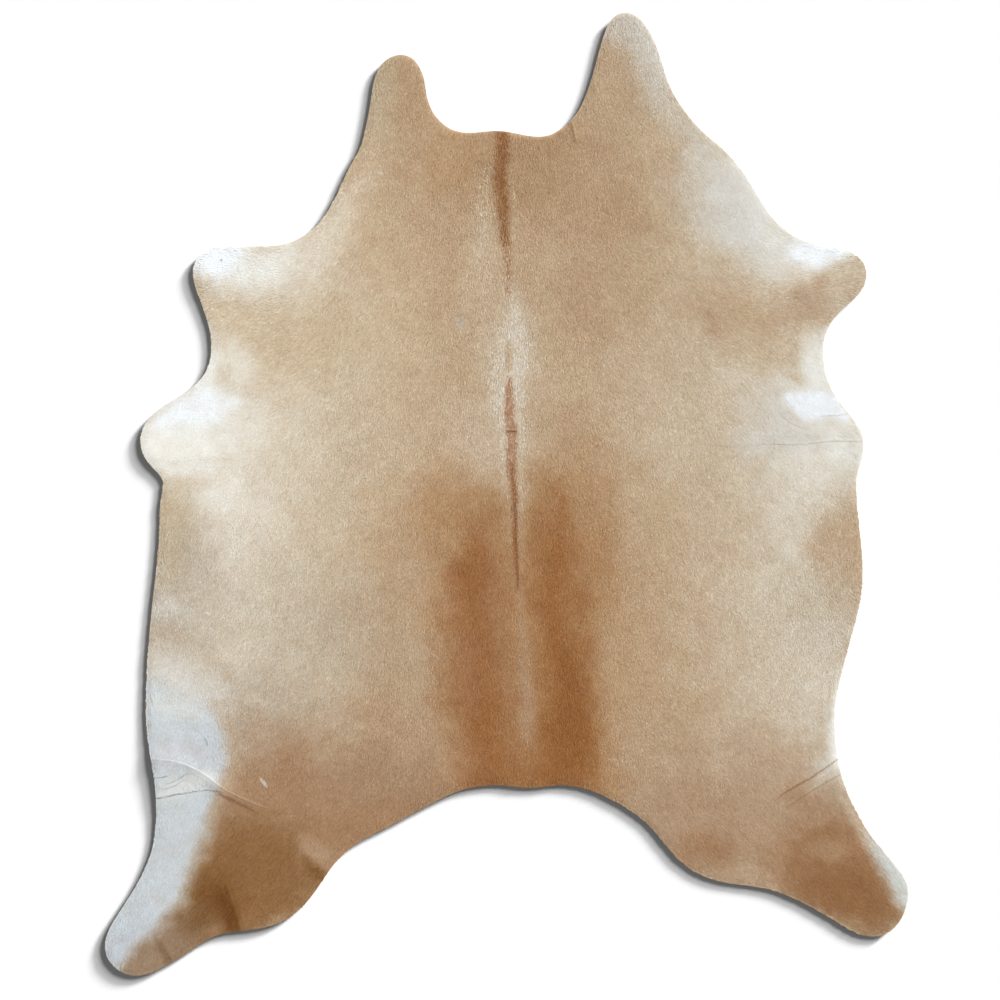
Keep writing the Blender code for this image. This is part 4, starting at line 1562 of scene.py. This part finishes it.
@dataclass
class HideSkin:
    """The skin: one sheet of tanned leather, cut to the hide's outline.

    Attributes:
        form: the hide's outline and heights.
        markings: the coat's colours, which the skin takes between the hairs.
        cell: mesh spacing.
        stripe_cell: closer spacing beside the spine's stripe,
        stripe_reach: this far to either side of it.
        fold_margin: how far from a fold the mesh is made finer,
        fine_margin: and how far finer again.
        sliver: corners closer than this are joined.
        cut_slope: faces whose normals rise less than this are the cut edge.
        sharp: edges sharper than this many degrees stay sharp.
        area: of the hide laid flat, in square metres; not used.
    """

    form: HideForm
    markings: Markings
    cell: float = 0.0115
    stripe_cell: float = 0.0035
    stripe_reach: float = 0.040
    fold_margin: float = 0.010
    fine_margin: float = 0.003
    sliver: float = 0.0004
    cut_slope: float = 0.5
    sharp: float = 50.0
    area: float = 2.55

    def build(self) -> bpy.types.Object:
        """Cut, lay and dress the skin.

        Returns:
            The skin as a piece.
        """
        sheet = self._flat_sheet()
        self._refine_folds(sheet)
        self._give_body(sheet)
        mesh = bpy.data.meshes.new("skin")
        sheet.to_mesh(mesh)
        sheet.free()
        mesh.shade_smooth()
        mesh.set_sharp_from_angle(angle=math.radians(self.sharp))
        for finish in (SkinFinish(), SuedeFinish(), CutEdgeFinish()):
            mesh.materials.append(finish.material())
        places = np.zeros(len(mesh.vertices) * 3)
        mesh.vertices.foreach_get("co", places)
        carry_tones(mesh, self.markings.at(places.reshape(-1, 3)[:, :2]))
        return new_piece("skin", mesh)

    def _flat_sheet(self) -> bmesh.types.BMesh:
        """Fill the outline with one face and cut it into small squares.

        Returns:
            The flat sheet, in the floor's plane.
        """
        sheet = bmesh.new()
        sheet.faces.new([sheet.verts.new((x, y, 0.0)) for x, y in self.form.rim])
        low, high = self.form.rim.min(axis=0), self.form.rim.max(axis=0)
        for axis in (0, 1):
            normal = [float(axis == 0), float(axis == 1), 0.0]
            places = np.arange(low[axis] + self.cell / 2, high[axis], self.cell)
            if axis == 0:
                centre = SPINE_X * MM
                extra = np.arange(centre - self.stripe_reach, centre + self.stripe_reach,
                                  self.stripe_cell)
                places = np.concatenate([places[np.abs(places - centre) > self.stripe_reach], extra])
            for place in np.sort(places):
                everything = sheet.verts[:] + sheet.edges[:] + sheet.faces[:]
                bmesh.ops.bisect_plane(sheet, geom=everything, dist=MERGE, plane_no=normal,
                                       plane_co=[place * part for part in normal])
        bmesh.ops.remove_doubles(sheet, verts=sheet.verts[:], dist=self.sliver)
        return sheet

    def _refine_folds(self, sheet: bmesh.types.BMesh) -> None:
        """Divide the squares near the folds, and those nearest to them again.

        Args:
            sheet: the flat sheet, which is changed.
        """
        for margin, longest in ((self.fold_margin, self.cell / 2),
                                (self.fine_margin, self.cell / 4)):
            middles = np.array([((edge.verts[0].co + edge.verts[1].co) / 2)[:2]
                                for edge in sheet.edges])
            chosen = np.zeros(len(middles), bool)
            for row, path in self.form.wrinkles:
                reach = row.half_width * MM + margin
                close = near_path(path, middles, reach)
                gap, _ = gap_to_path(path, middles[close])
                chosen[close] |= gap < reach
            edges = [edge for edge, wanted in zip(sheet.edges[:], chosen)
                     if wanted and edge.calc_length() > longest]
            bmesh.ops.subdivide_edges(sheet, edges=edges, cuts=1, use_grid_fill=True)
            wide = [face for face in sheet.faces if len(face.verts) > 4]
            bmesh.ops.triangulate(sheet, faces=wide)

    def _give_body(self, sheet: bmesh.types.BMesh) -> None:
        """Extrude the sheet to its thickness, lay it on its folds and sort its sides.

        Args:
            sheet: the flat sheet, which is changed.
        """
        raised = bmesh.ops.extrude_face_region(sheet, geom=sheet.faces[:], use_keep_orig=True)
        top = {item for item in raised["geom"] if isinstance(item, bmesh.types.BMVert)}
        for is_top in (False, True):
            verts = [vert for vert in sheet.verts if (vert in top) == is_top]
            points = np.array([(vert.co.x, vert.co.y) for vert in verts])
            heights = self.form.skin_top(points) if is_top else self.form.under(points)
            for vert, height in zip(verts, heights):
                vert.co.z = height
        bmesh.ops.recalc_face_normals(sheet, faces=sheet.faces[:])
        for face in sheet.faces:
            slope = face.normal.z
            face_up = Side.HAIR if slope > 0 else Side.FLESH
            face.material_index = (Side.CUT if abs(slope) < self.cut_slope else face_up).value


class LockShape(Enum):
    """Forms of a lock: how wide it is at its root, and whether that is a point."""

    BROAD = 0.6
    FINE = 0.0


LOCK_STEPS = (0.0, 0.5, 1.0)  # a lock's root, middle and tip along its length
STRAY_SPREAD = 0.8  # the standard deviation of a lock's heading, as a share of its stray


class LockKind(NamedTuple):
    """One kind of lock in the coat."""

    kind: str
    shape: LockShape
    spacing: float  # between neighbouring roots
    length: float
    width: float
    lift: Ends  # share of the pile's height
    stray: float  # degrees either way
    roll: float  # degrees about its length
    patchy: float  # how much single locks differ in brightness
    shade: tuple[float, float, float]  # brightness at root, middle and tip: darker roots are painted shade deep in the coat, lighter tips the hair's own colour
    reach: float = 0.0  # laid only this near a fold or speck; 0 is everywhere


LOCK_KINDS = (
    LockKind("under hair", LockShape.BROAD, 4.5, 10.4, 2.4, (0.13, 0.25), 9.0, 1.5, 0.020,
             (0.96, 0.98, 1.0)),
    LockKind("top hair", LockShape.FINE, 3.45, 6.4, 1.2, (0.25, 0.40), 13.0, 1.6, 0.051,
             (0.97, 1.0, 1.02)),
    LockKind("fold hair", LockShape.FINE, 1.4, 3.4, 1.05, (0.17, 0.27), 10.0, 1.6, 0.036,
             (0.97, 1.0, 1.02), 8.5),
)


class CoatRegion(NamedTuple):
    """A part of the coat that is one piece: all roots in a box."""

    name: str
    low: tuple[float, float]
    high: tuple[float, float]


FAR = 2000.0
SPINE_X = 15.0
NECK_Y = 500.0
BANDS = (("shoulder", 130, NECK_Y), ("flank", -220, 130), ("thigh", -560, -220), ("shank", -FAR, -560))
HALVES = (("left", -FAR, SPINE_X), ("right", SPINE_X, FAR))
REGIONS = (
    CoatRegion("coat_neck", (-FAR, NECK_Y), (FAR, FAR)),
    *(CoatRegion(f"coat_{half}_{band}", (start, low), (end, high))
      for band, low, high in BANDS for half, start, end in HALVES),
)


class LockBatch(NamedTuple):
    """All locks of one kind, laid and coloured."""

    roots: Array  # lock, xy
    corners: Array  # lock, corner, xyz
    normals: Array  # lock, corner, xyz
    tones: Array  # lock, corner, red green blue
    faces: list[list[int]]


@dataclass
class HairCoat:
    """The coat: short locks of hair, laid all over the skin.

    Attributes:
        form: the hide's outline and heights.
        markings: the coat's colours.
        lie: which way the hair lies.
        overhang: how far tips may pass the skin's cut edge.
        inset: no root is nearer to the rim.
        sizes: how long and wide single locks are, as shares of their kind's.
        least_room: how short the rim may cut a lock, as a share.
        sunk: how far a corner may lie below the skin's top.
        middle_rise: the share of the lift that a lock's middle has.
        tint: how much single locks differ in warmth.
        tilt: how much single locks face their own way.
        white_calm: how much less white locks differ from each other.
        white_from: colours paler than this, from 0 to 1, count as white,
        white_span: and that much paler ones fully so.
        detail_reach: how near a fold or speck the locks get shorter.
        detail_core: the share of that reach within which they are shortest.
        least_length: how short they get there, as a share.
        far_chance: random differences are held within this many deviations.
    """

    form: HideForm
    markings: Markings
    lie: HairLie
    overhang: float = 0.0016
    inset: float = 0.0004
    sizes: Ends = (0.75, 1.25)
    least_room: float = 0.12
    sunk: float = 0.0002
    middle_rise: float = 0.68
    tint: float = 0.057
    tilt: float = 0.015
    white_calm: float = 0.82
    white_from: float = 0.60
    white_span: float = 0.30
    detail_reach: float = 0.008
    detail_core: float = 0.2
    least_length: float = 0.35
    far_chance: float = 1.7

    def build(self) -> list[bpy.types.Object]:
        """Lay all the locks.

        Returns:
            One piece for each region of the coat.
        """
        rng = np.random.default_rng(SEED)
        batches = [self._lay(kind, rng) for kind in LOCK_KINDS]
        finish = HairFinish().material()
        pieces = []
        for region in REGIONS:
            mesh = self._mesh(region, batches)
            mesh.materials.append(finish)
            pieces.append(new_piece(region.name, mesh))
            LOG.info("%s: %d faces", region.name, len(mesh.polygons))
        return pieces

    def _roots(self, spacing: float, rng: np.random.Generator) -> Array:
        """Scatter roots evenly over the skin.

        Args:
            spacing: distance between neighbours, in metres.
            rng: the source of chance.

        Returns:
            One row of x and y for each lock.
        """
        rim = self.form.rim
        roots, _ = even_points(rim.min(axis=0), rim.max(axis=0), spacing)
        roots += rng.uniform(0.0, spacing, roots.shape)
        return roots[self.form.gap(roots) > self.inset]

    @staticmethod
    def _lock_form(shape: LockShape) -> tuple[Array, list[list[int]]]:
        """Form one flat lock: a narrow root, a wider middle and a pointed tip.

        Args:
            shape: broad locks have a blunt root, fine ones a pointed one.

        Returns:
            Its corners as (across, along) from -0.5 to 0.5 and 0 to 1, and
            the corners of each face.
        """
        lock = bmesh.new()
        bmesh.ops.create_grid(lock, x_segments=1, y_segments=2, size=0.5)
        middle = 0.5
        bmesh.ops.translate(lock, verts=lock.verts[:], vec=(0.0, middle, 0.0))
        root = [vert for vert in lock.verts if vert.co.y < middle / 2]
        tip = [vert for vert in lock.verts if vert.co.y > middle * 1.5]
        if shape is LockShape.BROAD:
            bmesh.ops.scale(lock, verts=root, vec=(shape.value, 1.0, 1.0))
        else:
            bmesh.ops.pointmerge(lock, verts=root, merge_co=(0.0, 0.0, 0.0))
        bmesh.ops.pointmerge(lock, verts=tip, merge_co=(0.0, 1.0, 0.0))
        lock.verts.index_update()
        corners = np.array([(vert.co.x, vert.co.y) for vert in lock.verts])
        faces = [[vert.index for vert in face.verts] for face in lock.faces]
        lock.free()
        return corners, faces

    def _fitted(self, kind: LockKind, roots: Array, ahead: Array, length: Array) -> Array:
        """Shorten the locks at the rim and beside the narrow folds.

        Args:
            kind: the locks' sizes.
            roots: where they grow, one row each.
            ahead: which way they lie, one row of length 1 each.
            length: how long they are when nothing is in their way.

        Returns:
            Lengths at which no tip passes the rim too far.
        """
        gap, least_loss = self.form.gap(roots), 1e-9
        loss = gap - self.form.gap(roots + ahead * length[:, None])
        room = (gap + self.overhang) / np.maximum(loss, least_loss)
        fitted = length * np.where(loss > 0, np.clip(room, self.least_room, 1.0), 1.0)
        if not kind.reach:
            near = self.form.detail_gap(roots, self.detail_reach) / self.detail_reach
            fitted *= np.interp(near, (self.detail_core, 1.0), (self.least_length, 1.0))
        return fitted

    def _mild_chance(self, count: int, rng: np.random.Generator) -> Array:
        """Draw random differences, the rare large ones held back."""
        return np.clip(rng.normal(0.0, 1.0, count), -self.far_chance, self.far_chance)

    def _lay(self, kind: LockKind, rng: np.random.Generator) -> LockBatch:
        """Place and colour every corner of every lock of one kind.

        Args:
            kind: the locks' sizes.
            rng: the source of chance.

        Returns:
            The locks.
        """
        roots = self._roots(kind.spacing * MM, rng)
        if kind.reach:
            roots = roots[self.form.detail_gap(roots, kind.reach * MM) < kind.reach * MM]
        count = len(roots)
        full_length = kind.length * MM * rng.uniform(*self.sizes, count)
        width = kind.width * MM * rng.uniform(*self.sizes, count)
        heading = self.lie.at(roots) + math.radians(kind.stray) * rng.normal(0.0, STRAY_SPREAD, count)
        ahead = np.column_stack([np.cos(heading), np.sin(heading)])
        aside = np.column_stack([np.sin(heading), -np.cos(heading)])
        length = self._fitted(kind, roots, ahead, full_length)

        form, faces = self._lock_form(kind.shape)
        across, along = form.T
        flat = (roots[:, None] + ahead[:, None] * (length[:, None] * along)[..., None]
                + aside[:, None] * (width[:, None] * across)[..., None])
        skin = self.form.skin_top(flat.reshape(-1, 2)).reshape(flat.shape[:2])
        lift = rng.uniform(*kind.lift, count) * self.form.pile(roots) * length / full_length
        rise = np.interp(along, LOCK_STEPS, (0.0, self.middle_rise, 1.0))
        roll = np.tan(np.radians(rng.normal(0.0, kind.roll, count))) * width
        height = skin + lift[:, None] * rise + roll[:, None] * across
        corners = np.dstack([flat, np.maximum(height, skin - self.sunk)])

        middles = roots + ahead * (0.5 * length)[:, None]
        tones = self.markings.at(middles, rng.uniform(-0.5, 0.5, count))
        whiteness = smooth_step((tones.min(axis=1) - self.white_from) / self.white_span)
        grain = 1.0 - self.white_calm * whiteness
        # painted shade and painted highlight along the narrow folds, put into the locks' colour
        tones *= self.form.wrinkle_relief(middles)[1][:, None]
        warmth = self.tint * grain * self._mild_chance(count, rng)
        tones *= 1.0 + warmth[:, None] * np.array(self.markings.bands)
        bright = 1.0 + kind.patchy * grain * self._mild_chance(count, rng)
        # painted shade at the roots, and the hair's own lighter tips
        shade = np.interp(along, LOCK_STEPS, kind.shade)

        normals = self.form.coat_normals(flat.reshape(-1, 2)).reshape(corners.shape)
        turns = self.tilt * grain[:, None] * rng.normal(0.0, 1.0, (count, 2))
        normals[..., :2] += turns[:, None]
        normals /= np.linalg.norm(normals, axis=2)[..., None]
        return LockBatch(roots, corners, normals,
                         tones[:, None] * (bright[:, None] * shade)[..., None], faces)

    @staticmethod
    def _mesh(region: CoatRegion, batches: Sequence[LockBatch]) -> bpy.types.Mesh:
        """Join the locks of one region in one mesh.

        Args:
            region: the part of the coat.
            batches: all the locks.

        Returns:
            The mesh, with its colours and its flat map.
        """
        low, high = np.array(region.low) * MM, np.array(region.high) * MM
        places, normals, tones, vertex_index, loop_start = [], [], [], [], []
        for batch in batches:
            chosen = ((batch.roots >= low) & (batch.roots < high)).all(axis=1)
            corners = batch.corners[chosen]
            lock = np.arange(len(corners))[:, None]
            order = [index for face in batch.faces for index in face]
            starts = np.cumsum([0] + [len(face) for face in batch.faces[:-1]])
            first_corner = sum(map(len, places))
            first_loop = sum(map(len, vertex_index))
            vertex_index.append((first_corner + lock * corners.shape[1] + order).ravel())
            loop_start.append((first_loop + lock * len(order) + starts).ravel())
            places.append(corners.reshape(-1, 3))
            normals.append(batch.normals[chosen].reshape(-1, 3))
            tones.append(batch.tones[chosen].reshape(-1, 3))
        corners, follow = np.vstack(places), np.concatenate(vertex_index)
        starts = np.concatenate(loop_start)

        mesh = bpy.data.meshes.new(region.name)
        mesh.vertices.add(len(corners))
        mesh.vertices.foreach_set("co", corners.ravel())
        mesh.loops.add(len(follow))
        mesh.loops.foreach_set("vertex_index", follow)
        mesh.polygons.add(len(starts))
        mesh.polygons.foreach_set("loop_start", starts)
        mesh.update(calc_edges=True)
        mesh.normals_split_custom_set_from_vertices(np.vstack(normals))
        carry_tones(mesh, np.vstack(tones))

        flat = corners[:, :2]
        layer = mesh.uv_layers.new(name="OFBake")
        share = (flat - flat.min(axis=0)) / np.ptp(flat, axis=0)
        layer.data.foreach_set("uv", share[follow].ravel())
        return mesh


# ---------------------------------------------------------------------------
# The studio
# ---------------------------------------------------------------------------


@dataclass
class Studio:
    """A white floor, soft light from above and a camera that looks straight down.

    Attributes:
        keys: height above the floor in degrees, strength and softness in
            degrees of the lights that cast the shadow.
        key_azimuth: their side, in degrees anticlockwise from +X.
        sky: brightness of the pale surround.
        top_power: strength of the light straight above.
        top_angle: its softness, in degrees.
        lamp_distance: where the lights stand, which their light doesn't depend on.
        floor_side: the floor's length.
        floor_drop: how far the floor lies below the hide.
        focal_length: of the camera, in millimetres.
        sensor: its picture's width, in millimetres.
        sight: how far the camera sees.
    """

    keys: tuple[tuple[float, float, float], ...] = ((22.0, 6.41, 24.0), (12.0, 11.06, 8.0))
    key_azimuth: float = 42.0
    sky: float = 0.12
    top_power: float = 0.28
    top_angle: float = 50.0
    lamp_distance: float = 4.0
    floor_side: float = 14.0
    floor_drop: float = 0.005
    focal_length: float = 85.0
    sensor: float = 36.0
    sight: float = 50.0

    def build(self) -> None:
        """Set up the floor, the lights and the camera."""
        self._floor()
        for elevation, power, angle in self.keys:
            self._sun("key", elevation, self.key_azimuth, power, angle)
        self._sun("top", 90.0, 0.0, self.top_power, self.top_angle)
        self._surround()
        self._camera()
        bpy.context.scene.view_settings.view_transform = "Standard"

    def _floor(self) -> None:
        """Lay the floor just under the hide."""
        slab = bmesh.new()
        bmesh.ops.create_grid(slab, x_segments=2, y_segments=2, size=self.floor_side / 2)
        bmesh.ops.translate(slab, verts=slab.verts[:], vec=(0.0, 0.0, -self.floor_drop))
        mesh = bpy.data.meshes.new("floor")
        slab.to_mesh(mesh)
        slab.free()
        mesh.materials.append(FloorFinish().material())
        floor = bpy.data.objects.new("floor", mesh)
        bpy.context.scene.collection.objects.link(floor)

    def _sun(self, name: str, elevation: float, azimuth: float, power: float,
             angle: float) -> None:
        """Add a distant light.

        Args:
            name: the light's name.
            elevation: its height above the floor, in degrees.
            azimuth: its side, in degrees anticlockwise from +X.
            power: its strength.
            angle: its softness, in degrees.
        """
        lamp = bpy.data.lights.new(name, "SUN")
        lamp.energy, lamp.angle = power, math.radians(angle)
        light = bpy.data.objects.new(name, lamp)
        up, side = math.radians(elevation), math.radians(azimuth)
        towards = Vector((math.cos(up) * math.cos(side), math.cos(up) * math.sin(side),
                          math.sin(up)))
        light.rotation_euler = towards.to_track_quat("Z", "Y").to_euler()
        light.location = towards * self.lamp_distance
        bpy.context.scene.collection.objects.link(light)

    def _surround(self) -> None:
        """Fill the room with even pale light."""
        world = bpy.data.worlds.new("surround")
        world.use_nodes = True
        background = world.node_tree.nodes["Background"]
        background.inputs["Color"].default_value = (1.0, 1.0, 1.0, 1.0)
        background.inputs["Strength"].default_value = self.sky
        bpy.context.scene.world = world

    def _camera(self) -> None:
        """Hang the camera over the hide, framed as the photograph is."""
        lens = bpy.data.cameras.new("camera")
        lens.lens = self.focal_length
        lens.sensor_width = self.sensor
        lens.clip_end = self.sight
        camera = bpy.data.objects.new("camera", lens)
        middle = PHOTO_SIDE / 2
        height = PHOTO_SIDE * PIXEL * self.focal_length / self.sensor
        camera.location = ((middle - ORIGIN_PIXEL[0]) * PIXEL,
                           (ORIGIN_PIXEL[1] - middle) * PIXEL, height)
        bpy.context.scene.collection.objects.link(camera)
        bpy.context.scene.camera = camera


def main() -> None:
    """Build the hide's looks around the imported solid."""
    logging.basicConfig(level=logging.INFO, format="%(name)s: %(message)s")
    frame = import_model()

    form = HideForm(frame["nodes"][HIDE_NODE])
    LOG.info("rim: %d points", len(form.rim))
    markings = Markings()
    hide = HideSkin(form, markings)
    skin = hide.build()
    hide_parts(HIDE_NODE)
    LOG.info("skin: %d faces", len(skin.data.polygons))
    coat = HairCoat(form, markings, HairLie()).build()
    LOG.info("coat: %d pieces", len(coat))

    Studio().build()


if __name__ == "__main__":
    main()
